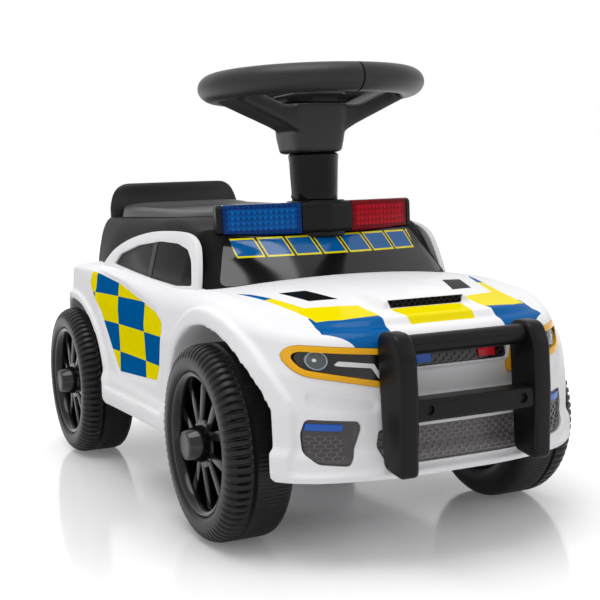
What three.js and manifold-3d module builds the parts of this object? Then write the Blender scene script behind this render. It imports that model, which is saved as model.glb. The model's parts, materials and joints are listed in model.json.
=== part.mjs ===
// Foot-to-floor ride-on patrol car for a toddler: moulded shell, lifting seat over a storage tub,
// a steering wheel that turns the front wheels through a link, and four free-running wheels.
// Millimetres, +Z up. The car faces -Y and the origin lies on the floor under its middle.
import * as THREE from "three";
import { mergeVertices } from "three/addons/utils/BufferGeometryUtils.js";
import Module from "manifold-3d";

const wasm = await Module();
wasm.setup();

// Driving dimensions: the whole car
const LENGTH = 646;
const FRONT_OVERHANG = 160;
const REAR_OVERHANG = 108;
const WHEELBASE = LENGTH - FRONT_OVERHANG - REAR_OVERHANG;
const CLEARANCE = 0.3;
const WALL = 4;
const FRONT_Y = -LENGTH / 2;
const REAR_Y = LENGTH / 2;
const FRONT_AXLE_Y = FRONT_Y + FRONT_OVERHANG;
const REAR_AXLE_Y = REAR_Y - REAR_OVERHANG;
// A place between the axles, as a share of the way from the front one
const between = (share) => FRONT_AXLE_Y + share * WHEELBASE;

// Driving dimensions: wheels
const WHEEL_RADIUS = 75;
const TYRE_WIDTH = 52;
const TYRE_OUTER_X = 150;
const TYRE_BORE_RADIUS = 52;
const RIM_MOUTH_RADIUS = 55;
const TREAD_LUGS = 14;
const TREAD_DEPTH = 2;
const SPOKE_PAIRS = 5;
const SPOKE_FACE_X = TYRE_OUTER_X - 7;
const SPOKE_DEPTH = 11;
const HUB_RADIUS = 15;
const HUB_CAP_RADIUS = 13;
const HUB_CAP_REACH = 14;
const AXLE_RADIUS = 5;
const AXLE_CLEARANCE = 0.35;
const AXLE_END_X = SPOKE_FACE_X + 3;
const AXLE_Z = WHEEL_RADIUS;

// Driving dimensions: body shell
const SILL_Z = 60;
const BODY_HALF_WIDTH = 133;
const BULL_BAR_REACH = 28;
const NOSE_Y = FRONT_Y + BULL_BAR_REACH;
const REAR_LIP = 6;
const REAR_LIP_Z = 147;
const REAR_LIP_HEIGHT = 15;
const TAIL_Y = REAR_Y - REAR_LIP;
const FRONT_ARCH_RADIUS = 104;
const FRONT_ARCH_Z = 60;
const REAR_ARCH_RADIUS = 85;
const FLARE_WIDTH = 13;
const FLARE_RISE = 4;
const FRONT_WELL_INNER_X = 66;
const REAR_WELL_INNER_X = 92;
const BUMPER_SEAM_Z = 147;
const BUMPER_BACK_Y = FRONT_AXLE_Y - 52;
const FLOOR_THICKNESS = 4;

// Driving dimensions: cabin, seat and storage
const BELT_Z = 184;
const FRAME_TOP_Z = 232;
const FRAME_FOOT_X = 118;
const FRAME_LEAN = Math.atan2(8, FRAME_TOP_Z - BELT_Z);
const FRAME_THICKNESS = 5;
const SCREEN_BASE_Y = FRONT_AXLE_Y + 28;
const SCREEN_SWEEP = 29;
const SCREEN_TOP_Y = SCREEN_BASE_Y + 43;
const ROOF_Z = 229;
const SEAT_Z = 247;
// The lid is short enough to swing up behind the steering wheel
const SEAT_FRONT_Y = FRONT_AXLE_Y + 165;
const SEAT_REAR_Y = REAR_AXLE_Y + 47;
const SEAT_HALF_WIDTH = 72;
const SEAT_BOX_REAR_Y = SEAT_REAR_Y + 21;
const SEAT_THICKNESS = 6;
const TUB_HALF_WIDTH = 60;
const TUB_FLOOR_Z = 112;
const TUB_WALL = 2.5;
const TUB_FLANGE = 6;
const TUB_CORNER = 12;
const BACKREST_HEIGHT = 30;
const HINGE_PIN_RADIUS = 2;

// Driving dimensions: steering
const COLUMN_Y = FRONT_AXLE_Y + 82;
const COLUMN_TOP_RADIUS = 21;
const COLUMN_FOOT_RADIUS = 19;
const COLUMN_FOOT_Z = 236;
const HUB_FOOT_Z = 293;
const STEERING_WHEEL_Z = 349;
const STEERING_WHEEL_RADIUS = 95;
const RIM_TUBE_WIDTH = 26;
const RIM_TUBE_HEIGHT = 22;
const SHAFT_RADIUS = 6;
const STEER_ARM = 30;
const KINGPIN_X = 84;
const KINGPIN_RADIUS = 5;
const LINK_Z = 65;
const LINK_THICKNESS = 5;
const LINK_WIDTH = 15;
const LINK_PIN_RADIUS = 3;
const BEAM_Z = AXLE_Z + 11;
const BEAM_HEIGHT = 18;
const BUTTON_TRAVEL = 2.5;

// Driving dimensions: light bar and bull bar
const LIGHT_BAR_REACH = 96;
const LIGHT_BAR_SWEEP = 15.7;
const LIGHT_BAR_FRONT_Y = COLUMN_Y - 29;
const LIGHT_BAR_DEPTH = 24;
const LIGHT_BAR_Z = 226;
const LIGHT_BAR_TOP_Z = 252;
const LENS_LENGTH = 67;
const COLLAR_HALF_WIDTH = 23;
const POST_X = 54;
const POST_WIDTH = 14;
const POST_DEPTH = 22;
const POST_FOOT_Z = 66;
const POST_TOP_Z = 165;
const CROSS_TUBE_Z = 155;
const CROSS_TUBE_RADIUS = 7;
const CROSS_PLATE_Z = 104;
const CROSS_PLATE_HEIGHT = 15;

// Materials
const plastic = (color, roughness, metalness = 0) =>
  new THREE.MeshStandardMaterial({ color, roughness, metalness });
const WHITE = plastic(0xf2f1f2, 0.25);
const BLACK = plastic(0x1b1a1c, 0.45);
const GLOSS_BLACK = plastic(0x0b0b0c, 0.12);
const TYRE_BLACK = plastic(0x161616, 0.6);
const GREY = plastic(0x8d8b90, 0.5);
const AMBER = plastic(0xf0a400, 0.3);
const LENS_BLUE = plastic(0x0a4fb4, 0.15);
const LENS_RED = plastic(0xc00a18, 0.15);
const GRILLE_BLACK = plastic(0x141313, 0.5);
const STEEL = plastic(0xb8bac0, 0.3, 1);

// Solid helpers: three.js geometry in, closed solid out
function solid(geometry) {
  const bare = new THREE.BufferGeometry();
  const loose = geometry.index ? geometry.toNonIndexed() : geometry;
  bare.setAttribute("position", loose.getAttribute("position"));
  const merged = mergeVertices(bare, 1e-4);
  const corners = merged.index.array;
  const kept = [];
  for (let i = 0; i < corners.length; i += 3) {
    const [a, b, c] = corners.subarray(i, i + 3);
    if (a !== b && b !== c && c !== a) kept.push(a, b, c);
  }
  return new wasm.Manifold(
    new wasm.Mesh({
      numProp: 3,
      vertProperties: new Float32Array(merged.attributes.position.array),
      triVerts: new Uint32Array(kept),
    }),
  );
}

function node(name, shape, material) {
  const { numProp, vertProperties, triVerts } = shape.getMesh();
  const geometry = new THREE.BufferGeometry();
  const positions = new Float32Array((vertProperties.length / numProp) * 3);
  for (let i = 0; i < positions.length / 3; i++)
    positions.set(vertProperties.subarray(i * numProp, i * numProp + 3), i * 3);
  geometry.setAttribute("position", new THREE.BufferAttribute(positions, 3));
  geometry.setIndex(new THREE.BufferAttribute(new Uint32Array(triVerts), 1));
  geometry.computeVertexNormals();
  const mesh = new THREE.Mesh(geometry, material);
  mesh.name = name;
  return mesh;
}

const union = (...shapes) => shapes.reduce((whole, shape) => whole.add(shape));
const both = (shape) => shape.add(shape.mirror([1, 0, 0]));

function box(x0, x1, y0, y1, z0, z1) {
  const geometry = new THREE.BoxGeometry(x1 - x0, y1 - y0, z1 - z0);
  return solid(geometry.translate((x0 + x1) / 2, (y0 + y1) / 2, (z0 + z1) / 2));
}

// A round bar of one or two radii from one point to another
function rod(from, to, radius, endRadius = radius, sides = 10) {
  const a = new THREE.Vector3(...from);
  const along = new THREE.Vector3(...to).sub(a);
  const geometry = new THREE.CylinderGeometry(endRadius, radius, along.length(), sides);
  geometry.translate(0, along.length() / 2, 0);
  const turn = new THREE.Quaternion().setFromUnitVectors(
    new THREE.Vector3(0, 1, 0),
    along.clone().normalize(),
  );
  return solid(geometry.applyQuaternion(turn).translate(a.x, a.y, a.z));
}

const shapeOf = (points) => new THREE.Shape(points.map(([a, b]) => new THREE.Vector2(a, b)));

function roundedRectangle(a0, a1, b0, b1, radius) {
  const shape = new THREE.Shape();
  shape.absarc(a1 - radius, b0 + radius, radius, -Math.PI / 2, 0);
  shape.absarc(a1 - radius, b1 - radius, radius, 0, Math.PI / 2);
  shape.absarc(a0 + radius, b1 - radius, radius, Math.PI / 2, Math.PI);
  shape.absarc(a0 + radius, b0 + radius, radius, Math.PI, 1.5 * Math.PI);
  return shape;
}

function prism(shape, depth, curveSegments = 2) {
  return new THREE.ExtrudeGeometry(shape, { depth, bevelEnabled: false, curveSegments });
}

const basis = (x, y, z) =>
  new THREE.Matrix4().makeBasis(
    new THREE.Vector3(...x),
    new THREE.Vector3(...y),
    new THREE.Vector3(...z),
  );
const SIDE_VIEW = basis([0, 1, 0], [0, 0, 1], [1, 0, 0]);
const FRONT_VIEW = basis([1, 0, 0], [0, 0, 1], [0, -1, 0]);

// Prisms: an outline in side view (y, z), front view (x, z) or plan (x, y), between two places
const sidePrism = (shape, x0, x1, segments) =>
  solid(prism(shape, x1 - x0, segments).applyMatrix4(SIDE_VIEW).translate(x0, 0, 0));
const frontPrism = (shape, y0, y1, segments) =>
  solid(prism(shape, y1 - y0, segments).applyMatrix4(FRONT_VIEW).translate(0, y1, 0));
const planPrism = (shape, z0, z1, segments) =>
  solid(prism(shape, z1 - z0, segments).translate(0, 0, z0));

// A turned piece about the X axis: [along, radius] points of a closed section
function turned(section, sides, radiusAt = (along, radius) => radius) {
  const points = section.map(([along, radius]) => new THREE.Vector2(radius, along));
  if (THREE.ShapeUtils.area(points) < 0) points.reverse();
  points.push(points[0].clone());
  const geometry = new THREE.LatheGeometry(points, sides);
  const position = geometry.getAttribute("position");
  for (let i = 0; i < position.count; i++) {
    const turn = Math.floor(i / points.length) % sides;
    const { x: radius, y: along } = points[i % points.length];
    const scale = radiusAt(along, radius, turn) / radius;
    position.setX(i, position.getX(i) * scale);
    position.setZ(i, position.getZ(i) * scale);
  }
  return solid(geometry.rotateZ(-Math.PI / 2));
}

// A skin through rings of points that all have the same count, closed by flat ends
function skin(rings) {
  const count = rings[0].length;
  const positions = rings.flat(2);
  const index = [];
  const at = (ring, i) => ring * count + (i % count);
  for (let r = 0; r + 1 < rings.length; r++)
    for (let i = 0; i < count; i++) {
      index.push(at(r, i), at(r, i + 1), at(r + 1, i + 1));
      index.push(at(r, i), at(r + 1, i + 1), at(r + 1, i));
    }
  const last = rings.length - 1;
  for (let i = 0; i < count / 2; i++) {
    const mirror = count - i;
    index.push(at(0, i), at(0, mirror - 1), at(0, i + 1));
    index.push(at(0, i), at(0, mirror), at(0, mirror - 1));
    index.push(at(last, i), at(last, i + 1), at(last, mirror - 1));
    index.push(at(last, i), at(last, mirror - 1), at(last, mirror));
  }
  const geometry = new THREE.BufferGeometry();
  geometry.setAttribute("position", new THREE.Float32BufferAttribute(positions, 3));
  geometry.setIndex(index);
  return solid(geometry);
}

// A smooth reading of a short list of [place, value] stations
function along(stations, at) {
  const last = stations.length - 1;
  if (at <= stations[0][0]) return stations[0][1];
  if (at >= stations[last][0]) return stations[last][1];
  const next = stations.findIndex(([place]) => place >= at);
  const [from, start] = stations[next - 1];
  const [to, end] = stations[next];
  const slopeAt = (i) => {
    const [a, low] = stations[Math.max(i - 1, 0)];
    const [b, high] = stations[Math.min(i + 1, last)];
    return ((high - low) / (b - a)) * (to - from);
  };
  const t = (at - from) / (to - from);
  const rise = t * t * (3 - 2 * t);
  const startTurn = t * (1 - t) ** 2 * slopeAt(next - 1);
  const endTurn = t * t * (1 - t) * slopeAt(next);
  return start + (end - start) * rise + startTurn - endTurn;
}

// Body shell: half outline in plan from the nose to the tail, and the heights along it
const OUTLINE = new THREE.SplineCurve(
  [
    [0, NOSE_Y],
    [38, NOSE_Y + 1],
    [74, NOSE_Y + 8],
    [100, NOSE_Y + 22],
    [118, NOSE_Y + 45],
    [BODY_HALF_WIDTH - 3, NOSE_Y + 72],
    [BODY_HALF_WIDTH + 3, FRONT_AXLE_Y - 30],
    [BODY_HALF_WIDTH + 4, FRONT_AXLE_Y + 5],
    [BODY_HALF_WIDTH + 2, FRONT_AXLE_Y + 75],
    [BODY_HALF_WIDTH, FRONT_AXLE_Y + 150],
    [BODY_HALF_WIDTH - 1, REAR_AXLE_Y - 130],
    [BODY_HALF_WIDTH + 1, REAR_AXLE_Y - 50],
    [BODY_HALF_WIDTH + 2, REAR_AXLE_Y],
    [BODY_HALF_WIDTH - 2, REAR_AXLE_Y + 50],
    [BODY_HALF_WIDTH - 10, TAIL_Y - 26],
    [108, TAIL_Y - 8],
    [66, TAIL_Y - 1],
    [0, TAIL_Y],
  ].map(([x, y]) => new THREE.Vector2(x, y)),
);
const OUTLINE_STEPS = 17;
const SHOULDER_Z = [
  [NOSE_Y, 148],
  [NOSE_Y + 40, 155],
  [FRONT_AXLE_Y, 167],
  [FRONT_AXLE_Y + 60, 166],
  [between(0.3042), 163],
  [between(0.4074), 171],
  [between(0.6164), 184],
  [between(0.828), 190],
  [REAR_AXLE_Y + 40, 188],
  [TAIL_Y, 168],
];
const SHOULDER_RISE = [
  [NOSE_Y, 17],
  [NOSE_Y + 40, 12],
  [FRONT_AXLE_Y, 15],
  [between(0.3042), 21],
  [between(0.4074), 15],
  [between(0.6164), 7],
  [between(0.828), 4],
  [TAIL_Y, 6],
];
const CROWN = [
  [NOSE_Y, 3],
  [NOSE_Y + 40, 8],
  [SCREEN_BASE_Y, 8.5],
  [between(0.4312), 6],
  [TAIL_Y, 3],
];
const SHOULDER_INSET = 15;

const topAt = (x, y) => {
  const share = Math.min(1, Math.abs(x) / (BODY_HALF_WIDTH - SHOULDER_INSET));
  return along(SHOULDER_Z, y) + along(SHOULDER_RISE, y) + along(CROWN, y) * (1 - share * share);
};

// Rows up the side: share of the height from sill to shoulder, how far the wall lies inside the
// outline, how far it swells out again at the corners of the front bumper, and the share of the
// tuck that rounds the upper corners of the tail
const SIDE_ROWS = [
  [0, 5, 9, 0],
  [0.06, 0, 9, 0],
  [0.2, 0, 8, 0],
  [0.26, 3, 8, 0],
  [0.8, 0, 2, 0],
  [1, 1.5, 0, 0.9],
];
const CAVITY_ROWS = [SIDE_ROWS[0], SIDE_ROWS[1], SIDE_ROWS[3], SIDE_ROWS[5]];
const CORNER_SWELL = [
  [NOSE_Y + 8, 0],
  [NOSE_Y + 38, 1],
  [NOSE_Y + 70, 0.8],
  [FRONT_AXLE_Y, 0],
];
const TAIL_TUCK = [
  [REAR_AXLE_Y + 10, 0],
  [REAR_AXLE_Y + 58, 11],
  [TAIL_Y - 10, 16],
  [TAIL_Y, 10],
];

function bodySolid(inset, foot = SILL_Z, rows = SIDE_ROWS) {
  const half = OUTLINE.getPoints(OUTLINE_STEPS);
  const normals = half.map((_, i) => {
    const before = half[Math.max(0, i - 1)];
    const after = half[Math.min(half.length - 1, i + 1)];
    const run = after.clone().sub(before).normalize();
    return i === 0 || i === half.length - 1
      ? new THREE.Vector2(0, Math.sign(half[i].y))
      : new THREE.Vector2(run.y, -run.x);
  });
  const ringAt = (depth, height, swell, tuck) => {
    const side = half.map((p, i) => {
      const offset = depth - swell * along(CORNER_SWELL, p.y) + tuck * along(TAIL_TUCK, p.y);
      const x = p.x - normals[i].x * offset;
      const y = p.y - normals[i].y * offset;
      return [i === 0 || i === half.length - 1 ? 0 : x, y, height(p)];
    });
    const other = side.slice(1, -1).reverse();
    return [...side, ...other.map(([x, y, z]) => [-x, y, z])];
  };
  const shoulder = (p) => along(SHOULDER_Z, p.y);
  const rise = (p) => along(SHOULDER_RISE, p.y);
  const [, footTuck, footSwell] = rows[0];
  const rings = [ringAt(footTuck + inset, () => foot, footSwell, 0)];
  if (foot < SILL_Z) rings.push(ringAt(footTuck + inset, () => SILL_Z, footSwell, 0));
  for (const [share, depth, swell, tuck] of rows.slice(1))
    rings.push(
      ringAt(depth + inset, (p) => SILL_Z + share * (shoulder(p) - SILL_Z - inset), swell, tuck),
    );
  rings.push(ringAt(inset + 5, (p) => shoulder(p) + 0.5 * rise(p) - inset, 0, 1));
  rings.push(ringAt(inset + SHOULDER_INSET, (p) => shoulder(p) + rise(p) - inset, 0, 1));
  const rim = rings[rings.length - 1];
  const spineAt = (y) => Math.min(Math.max(y, NOSE_Y + 50), TAIL_Y - 30);
  for (const share of rows === SIDE_ROWS ? [0.3, 0.6, 0.88] : [0.5])
    rings.push(
      rim.map(([x, y]) => {
        const px = x * (1 - share);
        const py = y + (spineAt(y) - y) * share;
        return [px, py, topAt(px, py) - inset];
      }),
    );
  return skin(rings);
}

// The layer of the body between two depths under its surface
const layer = (depth, thickness) => bodySolid(depth).subtract(bodySolid(depth + thickness, BELOW));

function archShape(radius, y, z, foot) {
  const shape = new THREE.Shape();
  shape.moveTo(y - radius, foot);
  shape.lineTo(y + radius, foot);
  shape.absarc(y, z, radius, 0, Math.PI);
  return shape;
}
const BELOW = 20;
const ARCH_SIDES = 8;
const WIDE = 200;
const frontArch = (grow, x0, x1) =>
  sidePrism(
    archShape(FRONT_ARCH_RADIUS + grow, FRONT_AXLE_Y, FRONT_ARCH_Z, BELOW),
    x0,
    x1,
    ARCH_SIDES,
  );
const rearArch = (grow, x0, x1) =>
  sidePrism(archShape(REAR_ARCH_RADIUS + grow, REAR_AXLE_Y, AXLE_Z, BELOW), x0, x1, ARCH_SIDES);

// Window frame in side view: an arched outline and the opening in it
const FRAME_OUTLINE = [
  [between(0.164), BELT_Z - 14],
  [between(0.1693), BELT_Z + 4],
  [between(0.1878), FRAME_TOP_Z - 19],
  [between(0.2116), FRAME_TOP_Z - 8],
  [between(0.2646), FRAME_TOP_Z - 1.5],
  [between(0.3545), FRAME_TOP_Z],
  [between(0.5026), FRAME_TOP_Z - 1.5],
  [between(0.6402), FRAME_TOP_Z - 7],
  [between(0.7487), FRAME_TOP_Z - 15],
  [between(0.8228), FRAME_TOP_Z - 24],
  [between(0.8968), FRAME_TOP_Z - 40],
  [between(0.918), BELT_Z - 10],
];
const WINDOW_OUTLINE = [
  [between(0.2011), BELT_Z + 4],
  [between(0.2196), FRAME_TOP_Z - 24],
  [between(0.2487), FRAME_TOP_Z - 15],
  [between(0.3175), FRAME_TOP_Z - 10.5],
  [between(0.4418), FRAME_TOP_Z - 9.5],
  [between(0.6058), FRAME_TOP_Z - 14.5],
  [between(0.7434), FRAME_TOP_Z - 24],
  [between(0.7857), FRAME_TOP_Z - 34],
  [between(0.6058), BELT_Z + 8.5],
  [between(0.4735), BELT_Z + 5],
  [between(0.3069), BELT_Z + 2],
];
// Stands a side-view slab up at the window frame's lean, on the left side
function leaning(shape, inner, outer) {
  const slab = prism(shapeOf(shape), outer - inner).applyMatrix4(SIDE_VIEW);
  slab.translate(inner, 0, -BELT_Z).rotateY(-FRAME_LEAN).translate(FRAME_FOOT_X, 0, BELT_Z);
  return solid(slab);
}

const frames = both(
  leaning(FRAME_OUTLINE, -FRAME_THICKNESS, 0).subtract(leaning(WINDOW_OUTLINE, -WIDE / 4, WIDE / 4)),
);

// Lamp, grille and recess outlines in front view (x, z), on the left side where they come in pairs
const across = (share) => share * BODY_HALF_WIDTH;
const HEADLAMP = [
  [across(0.3383), 140],
  [across(0.391), 152],
  [across(0.8346), 157],
  [across(0.8872), 148.5],
  [across(0.8271), 136],
  [across(0.406), 124.5],
  [across(0.3459), 126],
];
const HEADLAMP_TRIM = 4;
const UPPER_GRILLE = [
  [across(-0.3158), 138],
  [across(0.3158), 138],
  [across(0.3083), 149],
  [across(-0.3083), 149],
];
const LOWER_GRILLE = [
  [across(-0.4211), 71],
  [across(0.4211), 71],
  [across(0.4662), 84],
  [across(0.4511), 96],
  [across(-0.4511), 96],
  [across(-0.4662), 84],
];
const FOG_LAMP = [
  [across(0.6015), 72],
  [across(0.7594), 74.5],
  [across(0.8195), 82],
  [across(0.8271), 96],
  [across(0.8045), 106],
  [across(0.5489), 103],
  [across(0.5338), 98],
];
const PLATE_RECESS = [
  [across(-0.391), 116],
  [across(0.391), 116],
  [across(0.3985), 130],
  [across(0.3459), 136],
  [across(-0.3459), 136],
  [across(-0.3985), 130],
];
const TAIL_LAMP = [
  [across(0.4662), 126],
  [across(0.782), 128],
  [across(0.8421), 136],
  [across(0.8271), 148],
  [across(0.4812), 146],
];
const RECESS_DEPTH = 2.2;
const facePrism = (points) => frontPrism(shapeOf(points), -LENGTH, FRONT_AXLE_Y - 45);
const rearPrism = (points) => frontPrism(shapeOf(points), REAR_AXLE_Y + 60, LENGTH);
const shrink = (points, by) => {
  const shape = shapeOf(points).getPoints();
  const n = shape.length;
  return shape.map((p, i) => {
    const before = shape[(i + n - 1) % n];
    const after = shape[(i + 1) % n];
    const turn = THREE.ShapeUtils.isClockWise(shape) ? -by : by;
    const into = p.clone().sub(before).normalize();
    const onward = after.clone().sub(p).normalize();
    const miter = turn / (1 + into.dot(onward));
    return [p.x - (into.y + onward.y) * miter, p.y + (into.x + onward.x) * miter];
  });
};

// Bonnet scoop: a wedge that rises from the bonnet and faces forward
const SCOOP_FRONT_Y = NOSE_Y + 38;
const SCOOP_REAR_Y = SCREEN_BASE_Y - 15;
const SCOOP_HALF_WIDTH = 33;
const SCOOP_HEIGHT = 6;
const SCOOP_SINK = 6;
function scoopSolid() {
  const foot = topAt(0, SCOOP_FRONT_Y);
  const middle = (SCOOP_FRONT_Y + SCOOP_REAR_Y) / 2;
  const ring = (y, half, low, high) => [
    [0, y, low],
    [half + 4, y, low],
    [half, y, high],
    [0, y, high],
    [-half, y, high],
    [-half - 4, y, low],
  ];
  return skin([
    ring(SCOOP_REAR_Y, SCOOP_HALF_WIDTH - 6, foot - SCOOP_SINK, topAt(0, SCOOP_REAR_Y) - 0.5),
    ring(middle, SCOOP_HALF_WIDTH, foot - SCOOP_SINK, topAt(0, middle) + SCOOP_HEIGHT / 2),
    ring(SCOOP_FRONT_Y, SCOOP_HALF_WIDTH + 2, foot - SCOOP_SINK, foot + SCOOP_HEIGHT),
  ]);
}
const SCOOP_MOUTH = [
  [-SCOOP_HALF_WIDTH + 3, topAt(0, SCOOP_FRONT_Y) + 0.5],
  [SCOOP_HALF_WIDTH - 3, topAt(0, SCOOP_FRONT_Y) + 0.5],
  [SCOOP_HALF_WIDTH - 1, topAt(0, SCOOP_FRONT_Y) + SCOOP_HEIGHT - 1.2],
  [-SCOOP_HALF_WIDTH + 1, topAt(0, SCOOP_FRONT_Y) + SCOOP_HEIGHT - 1.2],
];
const SCOOP_MOUTH_DEPTH = 8;

// Cabin opening in the shell, and the slots in the front wells for the axle beam and link
const CABIN_HOLE = shapeOf([
  [-98, SCREEN_BASE_Y + 26],
  [98, SCREEN_BASE_Y + 26],
  [98, SEAT_REAR_Y - 102],
  [70, SEAT_BOX_REAR_Y - 10],
  [-70, SEAT_BOX_REAR_Y - 10],
  [-98, SEAT_REAR_Y - 102],
]);
const LINK_Y = FRONT_AXLE_Y - STEER_ARM;
const wellSlot = box(-WIDE / 2, WIDE / 2, LINK_Y - 22, FRONT_AXLE_Y + 18, BELOW, BEAM_Z + BEAM_HEIGHT + 8);

function shellSolid() {
  const outer = bodySolid(0);
  const cavity = bodySolid(WALL, BELOW, CAVITY_ROWS);
  const blocks = union(
    both(frontArch(WALL, FRONT_WELL_INNER_X - WALL, WIDE)),
    both(rearArch(WALL, REAR_WELL_INNER_X - WALL, WIDE)),
  ).intersect(outer);
  const flareReach = NOSE_Y + 34;
  const flares = union(
    both(frontArch(FLARE_WIDTH, BODY_HALF_WIDTH - 30, WIDE)),
    both(rearArch(FLARE_WIDTH - 5, BODY_HALF_WIDTH - 30, WIDE)),
  )
    .intersect(bodySolid(-FLARE_RISE))
    .intersect(box(-WIDE, WIDE, flareReach, LENGTH, SILL_Z, FRAME_TOP_Z));
  const rearLip = bodySolid(-REAR_LIP).intersect(
    box(-WIDE, WIDE, REAR_AXLE_Y + REAR_ARCH_RADIUS, LENGTH, REAR_LIP_Z, REAR_LIP_Z + REAR_LIP_HEIGHT),
  );
  const wells = union(
    both(frontArch(0, FRONT_WELL_INNER_X, WIDE)),
    both(rearArch(0, REAR_WELL_INNER_X, WIDE)),
  );
  const axleHole = rod([-WIDE, REAR_AXLE_Y, AXLE_Z], [WIDE, REAR_AXLE_Y, AXLE_Z], AXLE_RADIUS + 3);
  const scoopMouth = frontPrism(
    shapeOf(SCOOP_MOUTH),
    SCOOP_FRONT_Y - WALL,
    SCOOP_FRONT_Y + SCOOP_MOUTH_DEPTH,
  );
  const cuts = union(
    both(facePrism(HEADLAMP)),
    facePrism(UPPER_GRILLE),
    facePrism(LOWER_GRILLE),
    both(facePrism(FOG_LAMP)),
    both(rearPrism(TAIL_LAMP)),
  );
  const recess = facePrism(PLATE_RECESS).subtract(bodySolid(RECESS_DEPTH));
  return union(outer, flares, rearLip, scoopSolid(), frames)
    .subtract(cavity)
    .add(blocks)
    .subtract(wells)
    .subtract(wellSlot)
    .subtract(axleHole)
    .subtract(scoopMouth)
    .subtract(cuts)
    .subtract(recess)
    .subtract(both(leaning(WINDOW_OUTLINE, -FRAME_THICKNESS, FRAME_THICKNESS)))
    .subtract(planPrism(CABIN_HOLE, BUMPER_SEAM_Z, WIDE * 2));
}

// Cabin: rings along Y, bent back at the sides by the sweep of the windscreen
// Each station is [y, top, half width of the top, height of the side, half width of the side]
const frameInnerX = (z) =>
  FRAME_FOOT_X - FRAME_THICKNESS / Math.cos(FRAME_LEAN) - (z - BELT_Z) * Math.tan(FRAME_LEAN);
const CABIN_FOOT_Z = 165;
const SEAT_BED_Z = SEAT_Z - SEAT_THICKNESS - CLEARANCE;
const besideFrame = (z) => frameInnerX(z) - CLEARANCE;
const CABIN_STATIONS = [
  [SCREEN_BASE_Y - 7, ROOF_Z - 44, 88, ROOF_Z - 52, besideFrame(ROOF_Z - 52)],
  [SCREEN_TOP_Y, ROOF_Z, 92, ROOF_Z - 12, besideFrame(ROOF_Z - 12)],
  [COLUMN_Y + 21, ROOF_Z + 4, 95, ROOF_Z - 1, besideFrame(ROOF_Z - 1)],
  [SEAT_FRONT_Y - 6, SEAT_BED_Z, 92, FRAME_TOP_Z - 2, besideFrame(FRAME_TOP_Z - 2)],
  [between(0.59), SEAT_BED_Z, 90, FRAME_TOP_Z - 7, besideFrame(FRAME_TOP_Z - 7)],
  [between(0.7487), SEAT_BED_Z, 87, FRAME_TOP_Z - 18, besideFrame(FRAME_TOP_Z - 18)],
  [between(0.8968), SEAT_BED_Z, 84, FRAME_TOP_Z - 38, besideFrame(FRAME_TOP_Z - 38)],
  [SEAT_REAR_Y - 22, SEAT_BED_Z, 80, BELT_Z + 10, 100],
  [SEAT_BOX_REAR_Y - 11, SEAT_BED_Z - 3, 74, BELT_Z + 8, 92],
  [SEAT_BOX_REAR_Y, SEAT_BED_Z - 26, 66, BELT_Z + 4, 82],
];
function cabinSolid(inset) {
  const first = CABIN_STATIONS[0][0];
  const last = SEAT_BOX_REAR_Y;
  const rings = CABIN_STATIONS.map(([station, top, topHalf, side, sideHalf]) => {
    const y = Math.min(Math.max(station, first + 2 * inset), last - inset);
    const sweep = SCREEN_SWEEP * Math.min(1, Math.max(0, (COLUMN_Y + 21 - y) / (COLUMN_Y - SCREEN_BASE_Y)));
    const at = (x, z) => [x, y + sweep * (x / FRAME_FOOT_X) ** 2, z];
    const right = [
      [sideHalf - inset, CABIN_FOOT_Z - (inset ? WIDE / 4 : 0)],
      [sideHalf - inset, side - inset / 2],
      [topHalf - inset * 0.7, top - inset],
      [topHalf / 2, top - inset],
    ];
    const foot = right[0][1];
    return [
      at(0, foot),
      ...right.map(([x, z]) => at(x, z)),
      at(0, top - inset),
      ...right.reverse().map(([x, z]) => at(-x, z)),
    ];
  });
  return skin(rings.reverse());
}

// Rounded rectangle rings in plan that start at the middle of the front edge
function plateRing(half, y0, y1, radius, z) {
  const steps = 3;
  const corner = (cx, cy, start) =>
    Array.from({ length: steps + 1 }, (_, i) => {
      const angle = start + ((Math.PI / 2) * i) / steps;
      return [cx + radius * Math.cos(angle), cy + radius * Math.sin(angle), z];
    });
  const side = [
    ...corner(half - radius, y0 + radius, -Math.PI / 2),
    ...corner(half - radius, y1 - radius, 0),
  ];
  const other = [...side].reverse().map(([x, y]) => [-x, y, z]);
  return [[0, y0, z], ...side, [0, y1, z], ...other];
}

// Parts that are let into the nose or tail of the shell, between two depths under its surface
const LAMP_SET_BACK = 1;
const LAMP_THICKNESS = 5;
const lampLayer = layer(LAMP_SET_BACK, LAMP_THICKNESS);
const trimLayer = layer(LAMP_SET_BACK / 3, LAMP_THICKNESS);
const grilleLayer = layer(2 * LAMP_SET_BACK, LAMP_THICKNESS);
const letIn = (points, prismOf = facePrism) => prismOf(shrink(points, CLEARANCE));

const root = new THREE.Group();
const add = (name, shape, material) => root.add(node(name, shape, material));
const addPair = (name, shape, material) => {
  add(`${name}_left`, shape, material);
  add(`${name}_right`, shape.mirror([1, 0, 0]), material);
};

const shell = shellSolid();
const bumperZone = (gap) =>
  box(-WIDE, WIDE, -LENGTH, BUMPER_BACK_Y + gap, 0, BUMPER_SEAM_Z + gap);
add("body_shell", shell.subtract(bumperZone(CLEARANCE / 2)), WHITE);
add("front_bumper", shell.intersect(bumperZone(-CLEARANCE / 2)), WHITE);

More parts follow.
